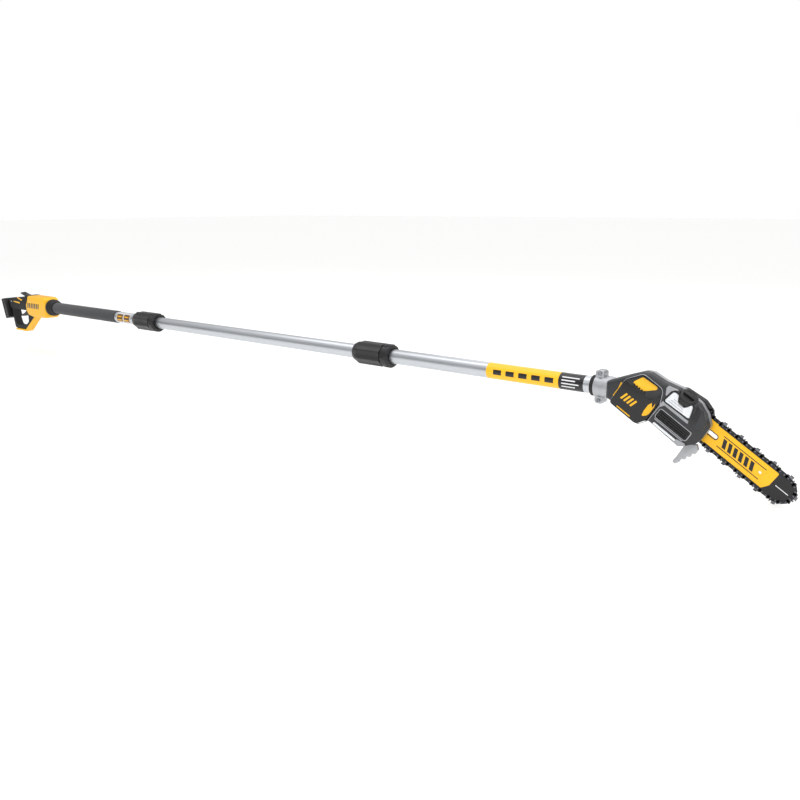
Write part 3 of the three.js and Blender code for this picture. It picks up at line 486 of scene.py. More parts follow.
def cameraMatrix():
    azimuth, elevation, roll = (math.radians(studio[key]) for key in ("azimuth", "elevation", "roll"))
    back = Vector((math.sin(azimuth) * math.cos(elevation), -math.cos(azimuth) * math.cos(elevation),
                   math.sin(elevation)))
    right = Vector((math.cos(azimuth), math.sin(azimuth), 0))
    up = back.cross(right)
    tilted = right * math.cos(roll) + up * math.sin(roll)
    upright = up * math.cos(roll) - right * math.sin(roll)
    turn = Matrix((tilted, upright, back)).transposed().to_4x4()
    return Matrix.Translation(studio["eye"]) @ turn


eye = bpy.data.cameras.new("camera")
eye.lens = studio["lens"]
eye.sensor_width = 36
eye.clip_end = 100
camera = bpy.data.objects.new("camera", eye)
camera.matrix_world = cameraMatrix()
bpy.context.scene.collection.objects.link(camera)
bpy.context.scene.camera = camera


def softLight(name, place, aim, size, power):
    data = bpy.data.lights.new(name, "AREA")
    data.shape = "RECTANGLE"
    data.size, data.size_y = size
    data.energy = power
    light = bpy.data.objects.new(name, data)
    light.location = place
    light.rotation_euler = (Vector(aim) - Vector(place)).to_track_quat("-Z", "Y").to_euler()
    bpy.context.scene.collection.objects.link(light)


softLight("overhead", (1.1, -0.2, 2.4), (1.1, 0, 0), (4.4, 1.3), 24)
softLight("front_fill", (2.6, -3.4, 2.2), (1.9, 0, 0), (2.6, 1.2), 16)
softLight("head_side", (4.2, -0.8, 1.0), (2.3, 0, 0), (1.2, 1.2), 6)
softLight("back_fill", (0.8, 2.8, 2.2), (1.2, 0, 0), (3.2, 1.2), 16)

world = bpy.data.worlds.new("studio")
world.use_nodes = True
sky = world.node_tree
# white backdrop, even fill, and a darker horizon only in what reflects
around = addNode(sky, "ShaderNodeTexCoord").outputs["Generated"]
upward = addNode(sky, "ShaderNodeSeparateXYZ", {0: around}).outputs[2]
share = addNode(sky, "ShaderNodeMapRange",
                {0: upward, 1: -0.1, 2: 0.9, 3: studio["horizonLight"], 4: studio["zenithLight"]})
ray = addNode(sky, "ShaderNodeLightPath")
lit = addNode(sky, "ShaderNodeMix",
              {0: ray.outputs["Is Glossy Ray"], 2: studio["skyFill"], 3: share.outputs[0]})
strength = addNode(sky, "ShaderNodeMix",
                   {0: ray.outputs["Is Camera Ray"], 2: lit.outputs[0], 3: studio["skySeen"]})
sky.links.new(strength.outputs[0], sky.nodes["Background"].inputs[1])
sky.nodes["Background"].inputs[0].default_value = linear("#ffffff")
bpy.context.scene.world = world
bpy.context.scene.view_settings.view_transform = "Standard"

floorMesh = bpy.data.meshes.new("floor")
reach = studio["floorSize"] / 2
ground = cadBox[0].z - studio["floorDrop"]
corners = [(-reach, -reach, ground), (reach, -reach, ground), (reach, reach, ground),
           (-reach, reach, ground)]
floorMesh.from_pydata(corners, [], [(0, 1, 2, 3)])
floor = bpy.data.objects.new("floor", floorMesh)
bpy.context.scene.collection.objects.link(floor)
floorMesh.materials.append(startFinish("matt_studio_paper", studio["floorColour"], 0.8)[0])
print("studio ready")

# rear handle
handle = {
    "housing": [(0, -34), (0, 30), (-14, 38), (-157, 38), (-157, -22), (-142, -38), (-104, -45),
                (-12, -41)],
    "guard": [(-100, -36), (-128, -36), (-128, -47, 1), (-206, -103, 1), (-284, -103), (-288, -111),
              (-198, -111, 22)],
    "loop": [(-120, -47), (-158, -18), (-157, 32), (-172, 35), (-222, 27), (-318, 18), (-300, -66),
             (-291, -103, 8),
             (-206, -104)],
    "opening": [(-171, -24, 8), (-283, -24, 10), (-284, -60, 12), (-272, -88, 14), (-202, -88, 14),
                (-172, -68, 12)],
    "top": [(-157.6, -24), (-157.6, 32), (-172, 34), (-222, 27), (-316, 18), (-306, -24)],
    "dock": [(-354, 12), (-330, -67), (-303, -59), (-326, 17)],
    "surround": [(-158.5, -2), (-158.5, 39, 3), (-136, 39, 4), (-128, 29, 5), (-139, 8, 6), (-150, -2, 3)],
    "mark": [(-142, -9), (-134, -9), (-129, 11), (-137, 11)],
    "halfWidth": 29, "guardHalfWidth": 15, "loopHalfWidth": 14, "topHalfWidth": 18.5, "dockHalfWidth": 29,
    "housingEdge": 9, "gripEdge": 8, "wall": 2.6, "vents": (13, 9.4), "marks": (7, 13.2),
    "surroundProud": 0.9,
    "lever": [(-166, 30), (-168, 36, 5), (-218, 46, 3), (-226, 42, 2), (-216, 38, 4), (-176, 29, 3)],
    "leverPivot": (-166, 27), "leverHub": 8.5, "leverHalfWidth": 10,
    "trigger": [(-168, -12, 4), (-184, -10, 4), (-190, -20, 6), (-214, -36, 14), (-240, -46, 3),
                (-238, -52, 3),
                (-210, -49, 12), (-182, -38, 10), (-168, -22, 6)],
    "triggerHalfWidth": 6.5, "tubeRadius": 19,
}


def onSide(side, y0, y1):
    return (y0, y1) if side < 0 else (-y1, -y0)


def shellSections(side, halfWidth, edge):
    # outer face well rounded, inner face just eased at the seam
    if side < 0:
        return rounded(-halfWidth, -seam / 2, edge, 0.5, steps=5)
    return rounded(seam / 2, halfWidth, 0.5, edge, steps=5)


def hubTool():
    # room for the lever's hub, open at the top
    x, z = handle["leverPivot"]
    return box("hubWay", x - 11, x + 11, -10.6, 10.6, z - 9.5, 60, handlePlace, "black", 0.4)


def yellowHousing(side, name):
    shell = loft(name, handle["housing"], shellSections(side, handle["halfWidth"], handle["housingEdge"]),
                 handlePlace, "yellow", 9)
    guard = loft("guard", handle["guard"], shellSections(side, handle["guardHalfWidth"], 4), handlePlace,
                 "yellow", 4)
    wall = handle["wall"]
    edges = (6, 0.1) if side < 0 else (0.1, 6)
    room = rounded(*onSide(side, -handle["halfWidth"] + wall, 1), *edges)
    inner = loft("inner", handle["housing"], [(y, inset + wall) for y, inset in room], handlePlace, "black",
                 9)
    tubeWay = sleeve("tubeWay", 0, handle["tubeRadius"] + 0.4, -70, 6, handlePlace, "black")
    vents = box("vent", -130, -126.6, *onSide(side, -18.5, -9.5), 36, 41, ownPlace, "black", 0.8)
    count, pitch = handle["vents"]
    vents = repeated(vents, "row", count, (pitch * mm, 0, 0), "black", handlePlace)
    carve(shell, guard, operation="UNION")
    return carve(shell, inner, tubeWay, hubTool(), vents)


def sidePanel(side, name):
    # a row of plain slanted bars
    face = handle["halfWidth"]
    count, pitch = handle["marks"]
    bar = loft("bar", handle["mark"], rounded(*onSide(side, -face - 0.35, -face + 1), 0.3, steps=2),
               ownPlace, "gloss", 1)
    marks = repeated(bar, "row", count, (pitch * mm, 0, 0), "gloss", handlePlace)
    marks.name = name
    return marks


def gripLoop(side, name):
    loop = loft(name, handle["loop"], shellSections(side, handle["loopHalfWidth"], handle["gripEdge"]),
                handlePlace, "rubber", 5)
    top = loft("top", handle["top"], shellSections(side, handle["topHalfWidth"], 9), handlePlace, "rubber",
               6)
    way = loft("way", handle["opening"],
               flared(-handle["loopHalfWidth"] - 4.5, handle["loopHalfWidth"] + 4.5, 6),
               handlePlace, "rubber", 8)
    carve(loop, top, operation="UNION")
    x, z = handle["leverPivot"]
    hub = pin("hub", x, z, handle["leverHub"] + 0.4, -10.4, 10.4, handlePlace, "black")
    hubTop = box("hubTop", x - 40, x + 20, -10.4, 10.4, z, 60, handlePlace, "black")
    slot = box("slot", -214, -160, -7.7, 7.7, -34, -14, handlePlace, "black")
    return carve(loop, way, hub, hubTop, slot)


def gripAccents():
    # thumb pads and strokes inlaid in the rubber, both sides
    parts = []
    face = handle["topHalfWidth"]
    for side in (-1, 1):
        depth = onSide(side, -face - 0.4, -face + 2)
        parts.append(loft("stroke", [(-274, 9), (-268, 5), (-222, 1), (-219, 4), (-224, 7)],
                          rounded(*depth, 0.3), handlePlace, "yellow", 2))
        parts.append(loft("curve", [(-238, 22), (-204, 13), (-196, 20), (-205, 19), (-236, 26)],
                          rounded(*depth, 0.3), handlePlace, "yellow", 2))
        parts.append(pin("dot", -290, 6, 3.4, *depth, handlePlace, "lightGrey", 0.3, 32))
    return merge("grip_inlays", parts)


def dockBlock():
    # rails and contacts for the battery, at the foot of the handle
    dock = handle["dock"]
    half = handle["dockHalfWidth"]
    block = loft("battery_dock_block", dock, rounded(-half, half, 2.2), handlePlace, "black", 3)
    lean = math.atan2(dock[1][0] - dock[0][0], dock[0][1] - dock[1][1])
    foot = Matrix.Translation((dock[1][0] * mm, 0, dock[1][1] * mm))
    facePlace = handlePlace @ foot @ Matrix.Rotation(-lean, 4, "Y")
    grooves = [box("groove", 5, 10, *onSide(side, -half - 5, -half + 5), -40, 140, facePlace, "black", 0.5)
               for side in (-1, 1)]
    recess = box("recess", -6, 12, -15, 15, 18, 66, facePlace, "black", 1.5)
    latch = box("latch", -6, 5, -9, 9, 4, 12, facePlace, "black", 1)
    carve(block, recess, latch, *grooves)
    ribs = box("rib", -1.2, 1, -1.1, 1.1, 20, 64, ownPlace, "black", 0.5)
    ribs = repeated(ribs, "row", 2, (0, 42 * mm, 0), "black",
                    facePlace @ Matrix.Translation((0, -21 * mm, 0)))
    return merge("battery_dock_block", [block, ribs])


def leverPiece():
    half = handle["leverHalfWidth"]
    arm = loft("lock_off_lever_pad", handle["lever"], rounded(-half, half, 1.6), handlePlace, "black", 3)
    pivot = handle["leverPivot"]
    hub = pin("hub", *pivot, handle["leverHub"], -half, half, handlePlace, "black", 1.2)
    trunnion = pin("trunnion", *pivot, 3, -13.5, 13.5, handlePlace, "black", 0.4, 32)
    carve(arm, hub, trunnion, operation="UNION")
    grips = box("grip", -214, -212.6, -7, 7, 43.6, 46.6, ownPlace, "black", 0.5)
    grips = repeated(grips, "row", 4, (4 * mm, 0, -0.8 * mm), "black", handlePlace)
    return merge("lock_off_lever_pad", [arm, grips])


def triggerPiece():
    half = handle["triggerHalfWidth"]
    blade = loft("trigger_blade", handle["trigger"], rounded(-half, half, 2.2), handlePlace, "black", 4)
    return carve(blade, pin("pinWay", -176, -15, 2.9, -20, 20, handlePlace, "black"))


def leverSurround():
    half = handle["halfWidth"] + handle["surroundProud"]
    block = loft("lever_surround", handle["surround"], rounded(-half, half, 8, steps=5), handlePlace,
                 "rubber", 3)
    return carve(block, hubTool())


def handleScrews():
    places = ((-146, -26), (-20, 28), (-22, -30), (-96, -38))
    screws = [socketScrew(x, z, handle["halfWidth"] - 0.6, 1, handlePlace) for x, z in places]
    return merge("housing_screws", screws)


socket = {"radius": 31.5, "bore": 19.3, "length": 37, "ribCount": 24}


def socketRing():
    r = socket["radius"]
    body = turned("pole_socket_collar", [
        (0.3, socket["bore"]), (0.3, r - 3, 2), (4, r, 2), (15, r, 1.5), (18, r - 3, 1), (25, r - 3, 1.5),
        (28, r - 5, 1),
        (33, r - 5, 1.5), (socket["length"], r - 7, 1), (socket["length"], socket["bore"])], handlePlace,
        "rubber")
    ribs = loft("rib", [(5, r - 1), (14, r - 1), (14, r + 0.1), (5, r + 0.1)],
                rounded(-1.2, 1.2, 0.3, steps=2),
                ownPlace, "rubber", 0.3, 2)
    ribs = repeated(ribs, "ring", socket["ribCount"], (2 * math.pi / socket["ribCount"], 0, 0), "rubber",
                    handlePlace)
    return merge("pole_socket_collar", [body, ribs])


for side, name in ((-1, "right"), (1, "left")):
    settled(yellowHousing(side, f"rear_housing_{name}"), "rear_handle", "yellow_plastic",
            f"housing_shell_{name}")
    settled(gripLoop(side, f"soft_grip_{name}"), "rear_handle", "black_rubber", f"grip_shell_{name}")
    settled(sidePanel(side, f"housing_panel_{name}"), "rear_handle", "black_plastic")
settled(gripAccents(), "rear_handle", "yellow_plastic")
settled(leverSurround(), "rear_handle", "black_rubber")
settled(handleScrews(), "rear_handle", "tool_steel")
settled(dockBlock(), "rear_handle", "black_plastic", "battery_dock")
settled(leverPiece(), "lock_off_lever", "black_plastic", "lock_off_lever")
settled(triggerPiece(), "trigger", "black_plastic", "trigger")
settled(socketRing(), "rear_handle", "black_rubber", "pole_socket_ring")
print("rear handle made")

# pole
pole = {"radius": 19, "wall": 1.8, "edge": 0.4, "foamRadius": 21.4, "film": 0.12}


def poleTube(name, node, body):
    x0, x1 = span(node)
    r = pole["radius"]
    tube = turned(name, [(x0, r - pole["wall"]), (x1, r - pole["wall"]), (x1, r, pole["edge"]),
                         (x0, r, pole["edge"])],
                  ownPlace, "tube", sides=128)
    return settled(tube, body, "satin_aluminium", node)


def foamSleeve():
    x0, x1 = span("foam_grip")
    r = pole["foamRadius"]
    foam = turned("foam_sleeve",
                  [(x0, pole["radius"] + 0.3), (x1, pole["radius"] + 0.3), (x1, r, 2.2), (x0, r, 2.2)],
                  ownPlace, "foam", sides=128)
    return settled(foam, "rear_handle", "grip_foam", "foam_grip")


def film(name, x0, x1, finish, low, high, lift=1):
    # a printed film wrapped round the tube between two angles, measured from the near side upwards
    inner = pole["radius"] + 0.02 + pole["film"] * (lift - 1)
    outer = inner + pole["film"]
    steps = max(3, round((high - low) / 4))
    points, faces = [], []
    for k in range(steps + 1):
        angle = math.radians(low + (high - low) * k / steps)
        for x, r in ((x0, inner), (x1, inner), (x1, outer), (x0, outer)):
            points.append((x, -r * math.cos(angle), r * math.sin(angle)))
    for k in range(steps):
        for i in range(4):
            j = (i + 1) % 4
            faces.append((4 * k + i, 4 * k + j, 4 * k + 4 + j, 4 * k + 4 + i))
    faces += [(0, 1, 2, 3), (4 * steps, 4 * steps + 1, 4 * steps + 2, 4 * steps + 3)]
    return newPiece(name, points, faces, ownPlace, finish, 50)


# where each film lies along the pole; marks are (first, pitch, length), rows are angles up from the near side
films = {
    "clear": (222, 306), "blocks": ((226, 262), (268, 302)), "clearReach": 72, "blockReach": (-34, 48),
    "yellow": (1765, 1955), "black": (1955, 2015), "colourReach": 95,
    "dashes": 5, "dash": (1785, 34, 22), "dashReach": (-14, 22), "lines": 4, "line": (1963, 2005, 9),
    "rowTop": 42, "rowPitch": 18, "lineTop": 44, "linePitch": 22, "rowHeight": 8,
}


def printedFilms():
    # plain blocks and bars stand in for the printed matter
    wide, tall = films["clearReach"], films["rowHeight"]
    clear = [film("base", *films["clear"], "filmClear", -wide, wide)]
    for start, end in films["blocks"]:
        clear.append(film("block", start, end, "filmBronze", *films["blockReach"], 2))
        for k in range(films["lines"]):
            finish = "filmYellow" if k % 2 else "filmBlack"
            top = films["rowTop"] - films["rowPitch"] * k
            clear.append(film("row", start + 3, end - 3 - 5 * (k % 2), finish, top - tall, top, 3))
    settled(merge("rear_tube_film", clear), "rear_handle", "white_plastic")
    wide = films["colourReach"]
    coloured = [film("base", *films["yellow"], "filmYellow", -wide, wide),
                film("base", *films["black"], "filmBlack", -wide, wide)]
    first, pitch, length = films["dash"]
    for k in range(films["dashes"]):
        at = first + pitch * k
        coloured.append(film("dash", at, at + length, "filmBlack", *films["dashReach"], 2))
    start, end, shorter = films["line"]
    for k in range(films["lines"]):
        top = films["lineTop"] - films["linePitch"] * k
        coloured.append(film("line", start, end - shorter * (k % 2), "filmWhite", top - tall, top, 2))
    settled(merge("head_tube_film", coloured), "saw_head", "yellow_plastic")


poleTube("rear_pole", "rear_tube", "rear_handle")
poleTube("extension_pole", "extension_tube", "extension")
poleTube("head_pole", "head_tube", "saw_head")
foamSleeve()
printedFilms()

# screw couplings
collar = {
    "radius": 31, "flats": 8, "tail": 16, "grooveBack": 26, "groove": 4, "bore": 23.4, "lip": 19.6,
    "notches": 6, "notchHalfAngle": 9, "notchDepth": 1.9,
}


def collarPiece(name, node, body):
    x0, x1 = span(node)
    r = collar["radius"]
    grooveAt = x1 - collar["grooveBack"]
    sector = 2 * math.pi / collar["flats"]

    def shape(x, radius, angle):
        if radius < collar["bore"] + 1.5:
            return radius
        if x < grooveAt:
            away = (angle + sector / 2) % sector - sector / 2
            facet = min((r - 1.6) / math.cos(away), r + 0.5)
            hollow = 0.9 * max(0.0, math.cos(away * math.pi / sector)) ** 2
            return min(radius, facet - hollow) if radius > r - 7 else radius
        turn = 2 * math.pi / collar["notches"]
        away = abs((angle + turn / 2) % turn - turn / 2)
        half = math.radians(collar["notchHalfAngle"]) * min(1.0, max(0.0, (x - grooveAt - 8) / 10))
        if x > grooveAt + 8 and away < half and radius > r - 2.6:
            return min(radius, r - collar["notchDepth"])
        return radius

    rear = [x0 + collar["tail"] + k * (grooveAt - x0 - collar["tail"]) / 10 for k in range(11)]
    front = [grooveAt + 9 + k * 1.2 for k in range(10)]
    profile = [(x0, collar["lip"]), (x0, r - 7, 2)] + [(x, r + 1, 0) for x in rear[:-1]]
    profile += [(grooveAt - 1.5, r + 1, 1), (grooveAt, r - 2, 0.6), (grooveAt + 0.3, r - 4, 0.4),
                (grooveAt + collar["groove"], r - 4, 0.4), (grooveAt + 5, r - 0.4, 0.8)]
    profile += [(x, r, 0) for x in front] + [(x1 - 3.5, r, 1.2), (x1, r - 3, 1.2)]
    profile += [(x1, collar["lip"] + 0.6, 0.8), (x1 - 5, collar["lip"]), (x1 - 14, collar["bore"]),
                (x0 + 5, collar["bore"]), (x0 + 5, collar["lip"])]
    piece = turned(name, profile, ownPlace, "black", sides=240, steps=3, shape=shape, sharp=28)
    return settled(piece, body, "black_plastic", node)


for number, owner in (("1", "rear_handle"), ("2", "extension")):
    collarPiece(f"threaded_collar_{number}", f"coupler_{number}_collar", f"coupler_{number}_collar")
    x0, x1 = span(f"coupler_{number}_socket")
    settled(turned(f"tube_socket_{number}",
                   [(x0, 19.3), (x1, 19.3), (x1, 21.5, 0.5), (x1 - 3, 23, 1), (x0, 23, 0.6)],
                   ownPlace, "black"), owner, "black_plastic", f"coupler_{number}_socket")
print("pole and couplings made")

# saw head
head = {
    "outline": [(-84, -71, 4), (-103, -40, 6), (-89, -21.5, 10), (-72, 1, 10), (-51, 27, 12),
                (-38, 33.5, 12),
                (-7, 36, 14), (25, 44.5, 12), (75, 44.5, 14), (97, 35, 12), (117, 18, 10), (118.5, -11, 10),
                (116.5, -28, 10), (94, -52, 8), (17, -50, 8), (-3, -67, 8), (-58, -67, 8)],
    "motor": [(-69, -66.5, 6), (2, -66.5, 6), (14, -48, 8), (14, -5, 12), (2, 24, 12), (-46, 24, 12),
              (-69, -8, 10)],
    "tank": [(17, 8, 4), (79, 10, 4), (70, 37, 6), (22, 37, 6)],
    "grille": [(23, -30, 3), (98, -30, 3), (98, -10, 3), (23, -10, 3)],
    "window": [(27, -46, 1.5), (83, -46, 1.5), (83, -41, 1.5), (27, -41, 1.5)],
    "bumper": [(76, 44), (84, 8), (112, 8), (110, 24), (92, 42)],
    "crownWindow": [(-55, -1, 4), (-45, 19, 3), (-10, 21, 3), (-6, 17, 3), (-19, 5, 3), (-28, -2, 3)],
    "sideWindow": [(1, -46), (8, -40), (10, -33), (10, -15), (7, -3), (4.5, -3), (-1, -17), (-1, -32)],
    "lowerTrim": [(-52, -63), (-16, -63), (-17, -60.5), (-51, -60.5)],
    "shoulder": [(16.5, 7, 2), (80, 7, 2), (82, 1, 1), (24, 1, 3), (18, -9, 3), (17, -40, 2),
                 (14.8, -40, 1),
                 (14.8, -3, 3)],
    "crest": [(7, 38.5, 2), (25, 43.5, 3), (29, 43.5, 2), (22, 39.5, 2), (17.5, 33, 2), (16, 20, 2),
              (13, 20, 1),
              (6, 33, 2)],
    "strip": [(24, -33.5, 0.8), (95, -33.5, 0.8), (95, -35.5, 0.8), (24, -35.5, 0.8)],
    "corner": [(84, -38.5), (100, -36), (105, -39.5), (93, -49.5), (80, -48.5)],
    "screws": ((-82, -52), (-60, -4), (-40, 24), (-8, -60), (6, 32)), "clampScrewHeight": 29.5,
    "slats": (4, 4.9), "posts": (6, 10.5), "notches": (5, 6.5), "stripes": (4, 8.2), "caseRibs": (8, 9),
    "nearFace": -38, "caseFace": -13.7, "motorFace": -48, "wall": 2.6,
    "crown": (-6, 24, 15), "front": (-3, 14, 12), "clampRadius": 24.5, "tubeRadius": 19,
    "neckRadius": 20, "clampWidth": 21, "neckEnd": 62, "earReach": 37, "caseBack": -0.3,
}
nearFace = head["nearFace"]

oilCap = {"radius": 19, "lean": 28, "at": (50, -24, 34), "ribs": 30}
capPlace = (headPlace @ Matrix.Translation(Vector(oilCap["at"]) * mm)
            @ Matrix.Rotation(math.radians(oilCap["lean"]), 4, "X")
            @ Matrix.Rotation(math.radians(-90), 4, "Y"))


def neckTool():
    # room for the neck between the clamp and the gear case
    width, r = head["clampWidth"], head["clampRadius"] + 0.4
    return turned("neckWay", [(width - 3, 0), (width - 3, r), (width + 12, r),
                              (head["neckEnd"], head["neckRadius"] + 0.4), (head["neckEnd"], 0)],
                              clampPlace, "black")


def leadTool():
    return sleeve("leadWay", 0, 9, 10, 90, clampPlace, "black")


def capTool(gap, start=-4, end=30):
    return sleeve("capWay", 0, oilCap["radius"] + gap, start, end, capPlace, "black")


def shellBody():
    outline = head["outline"]
    # its face leans back beyond the tank, towards the bar
    shell = loft("head_side_shell", outline, rounded(nearFace, head["caseFace"] - seam, 9, 0.4, steps=6),
                 headPlace, "darkGrey", 8)
    room = rounded(nearFace + 2.6, 4, 7, 0.1)
    inner = loft("inner", outline, [(y, inset + head["wall"]) for y, inset in room], headPlace, "black", 8)
    for body, wall in ((shell, 0), (inner, head["wall"])):
        start = Matrix.Translation((93 * mm, (nearFace + wall * 1.3) * mm, 0))
        lean = start @ Matrix.Rotation(math.atan2(20, 26), 4, "Z")
        carve(body, box("frontTool", 0, 90, -80, 0, -200, 200, headPlace @ lean, "darkGrey"))
    motorWay = loft("motorWay", head["motor"], [(-80, -0.6), (0, -0.6)], headPlace, "black", 8)
    tankWay = loft("tankWay", head["tank"], [(-80, -0.5), (20, -0.5)], headPlace, "black", 4)
    grilleWay = loft("grilleWay", head["grille"], [(-80, -0.4), (nearFace + 10, -0.4)], headPlace, "black",
                     3)
    windowWay = loft("windowWay", head["window"], [(-80, -0.4), (nearFace + 10, -0.4)], headPlace, "black",
                     1.5)
    clampWay = sleeve("clampWay", 0, head["clampRadius"] + 0.4, -20, head["clampWidth"] + 1, clampPlace,
                      "black")
    return carve(shell, inner, motorWay, tankWay, grilleWay, windowWay, clampWay, neckTool(), leadTool(),
                 capTool(0.8))


def faceDrop(s, n):
    # how far the motor cover's face falls back on its two slopes
    fall = 0.0
    for value, (start, end, depth) in ((n, head["crown"]), (s, head["front"])):
        fall += max(0.0, (value - start) / (end - start) * depth)
    return fall


def slopeTool(wall):
    # what lies in front of the two slopes
    face = head["motorFace"] + wall
    tools = []
    start, end, depth = head["crown"]
    tilt = Matrix.Rotation(-math.atan2(depth, end - start), 4, "X")
    crown = Matrix.Translation((0, face * mm, start * mm)) @ tilt
    tools.append(box("crownTool", -200, 200, -100, 0, 0, 200, headPlace @ crown, "gloss"))
    start, end, depth = head["front"]
    tilt = Matrix.Rotation(math.atan2(depth, end - start), 4, "Z")
    front = Matrix.Translation((start * mm, face * mm, 0)) @ tilt
    tools.append(box("frontTool", 0, 200, -100, 0, -200, 200, headPlace @ front, "gloss"))
    return tools


def motorCover():
    cover = loft("motor_side_cover", head["motor"],
                 rounded(head["motorFace"], head["caseFace"] - seam, 0, 0), headPlace,
                 "gloss", 8)
    carve(cover, *slopeTool(0))
    soften(cover, 2.6, 3, 24)
    inner = loft("inner", head["motor"], [(head["motorFace"] + 3, 3), (10, 3)], headPlace, "black", 8)
    carve(inner, *slopeTool(3))
    return carve(cover, inner, neckTool())


def facePlate(name, corners, radius=2.0):
    # a thin panel that follows the motor cover's face
    at = head["motorFace"]
    return loft(name, corners, rounded(at - 0.6, at + 2, 0.5, 0.05, steps=2), headPlace, "yellow", radius,
                drop=faceDrop)


def outlineTrim(name, corners, grow, width, y0, y1, finish, radius):
    # a narrow frame that follows an outline
    sections = [(y, inset - grow - width) for y, inset in rounded(y0, y1, 0.4, 0.1, steps=2)]
    frameRing = loft(name, corners, sections, headPlace, finish, radius)
    hole = loft("hole", corners, [(y0 - 4, -grow), (y1 + 4, -grow)], headPlace, finish, radius)
    return carve(frameRing, hole)


def motorDetails():
    parts = [facePlate("crownWindow", head["crownWindow"]), facePlate("lowerTrim", head["lowerTrim"], 1),
             facePlate("sideWindow", head["sideWindow"])]
    notch = box("notch", -50, -46.5, head["motorFace"] - 1, head["motorFace"] + 8, -5, 0.5, ownPlace,
                "gloss", 0.5)
    count, pitch = head["notches"]
    parts.append(repeated(notch, "row", count, (pitch * mm, 0, 0), "gloss", headPlace))
    face = head["motorFace"]
    stripe = loft("stripe", [(-56, -43), (-51.5, -43), (-46, -26), (-50.5, -26)],
                  rounded(face - 0.5, face + 1, 0.3, steps=2),
                  ownPlace, "yellow", 1)
    count, pitch = head["stripes"]
    parts.append(repeated(stripe, "row", count, (pitch * mm, 0, 0), "yellow", headPlace))
    return merge("motor_cover_inlays", parts)


def paintedEdgeHighlights():
    # painted highlight: light grey frames, shoulder, crest and strips between the motor, the tank and the
    # grille stand in for light caught on the panel edges; the tank's frame among them is black
    top = nearFace - 0.7
    low = nearFace + 4
    parts = [outlineTrim("motorFrame", head["motor"], 1.6, 1.1, top, low, "lightGrey", 9),
             outlineTrim("tankFrame", head["tank"], 0.6, 2.0, top, low, "black", 4),
             outlineTrim("grilleFrame", head["grille"], 0.6, 1.6, top, low, "lightGrey", 3)]
    for name, edge in (("shoulder", 0.5), ("crest", 0.5), ("strip", 0.4), ("corner", 0.5)):
        sections = rounded(top, low, edge, 0.1, steps=2)
        parts.append(loft(name, head[name], sections, headPlace, "lightGrey", 2))
    for part in parts[3:]:
        carve(part, loft("motorWay", head["motor"], [(-80, -1), (0, -1)], headPlace, "lightGrey", 8))
    for part in (parts[1], parts[3], parts[4]):
        carve(part, capTool(1, -14, 80))
    return merge("shell_trim", parts)


def neckStripe():
    # yellow strip along the sleeve that grips the neck
    return loft("neck_stripe",
                [(-75.5, -19), (-72.5, -17.5), (-69.5, -34), (-70.5, -54), (-73.5, -54), (-73, -34)],
                rounded(nearFace - 0.8, nearFace + 5, 0.5, 0.1, steps=2), headPlace, "yellow", 2)


def bumper():
    # faceted fin in front of the tank
    back, lowBack, lowFront, front, topFront = head["bumper"]
    points = [(*corner, nearFace + 6) for corner in head["bumper"]]
    points += [(*back, nearFace + 2), (*lowBack, nearFace - 3), (98, 8, nearFace - 9.5),
               (89, 43, nearFace - 5),
               (*lowFront, nearFace), (*front, nearFace), (*topFront, nearFace + 2)]
    shape = bmesh.new()
    for s, n, y in points:
        shape.verts.new(headPlace @ (Vector((s, y, n)) * mm))
    bmesh.ops.convex_hull(shape, input=shape.verts)
    bmesh.ops.dissolve_limit(shape, angle_limit=math.radians(3), verts=shape.verts, edges=shape.edges)
    bmesh.ops.recalc_face_normals(shape, faces=shape.faces)
    mesh = bpy.data.meshes.new("front_fin")
    shape.to_mesh(mesh)
    shape.free()
    piece = bpy.data.objects.new("front_fin", mesh)
    bpy.context.scene.collection.objects.link(piece)
    mesh.materials.append(finishes["darkGrey"])
    return soften(piece, 1.6, 3, 20, 30)


def grille():
    # slats with upright posts behind them
    panel = loft("vent_grille", head["grille"], rounded(nearFace + 1, nearFace + 5, 0.6, 0.2, steps=2),
                 headPlace, "black", 3)
    slats = box("slat", 26, 95, nearFace - 1, nearFace + 2.5, -28, -25.8, ownPlace, "black", 0.7)
    count, pitch = head["slats"]
    slats = repeated(slats, "row", count, (0, 0, pitch * mm), "black", headPlace)
    posts = box("post", 34, 35.6, nearFace - 0.2, nearFace + 2.5, -28.5, -11.5, ownPlace, "black", 0.4)
    count, pitch = head["posts"]
    posts = repeated(posts, "row", count, (pitch * mm, 0, 0), "black", headPlace)
    return merge("vent_grille", [panel, slats, posts])


def tankPiece():
    tank = loft("oil_reservoir", head["tank"], rounded(nearFace - 1, head["caseFace"] - 2, 3, 1, steps=4),
                headPlace, "tank", 5)
    hollow = loft("hollow", head["tank"], [(nearFace + 1, 2), (head["caseFace"] - 4, 2)], headPlace, "tank",
                  3)
    mouth = sleeve("mouth", 0, 9, -30, 40, capPlace, "tank")
    carve(tank, hollow, capTool(0.6), mouth)
    level = [box("level", 24 + 4 * k, 60 - 3 * k, nearFace - 1.5, nearFace, 14 + 5 * k, 14.8 + 5 * k,
                 headPlace, "lightGrey", 0.2)
             for k in range(3)]
    return merge("oil_reservoir", [tank] + level)


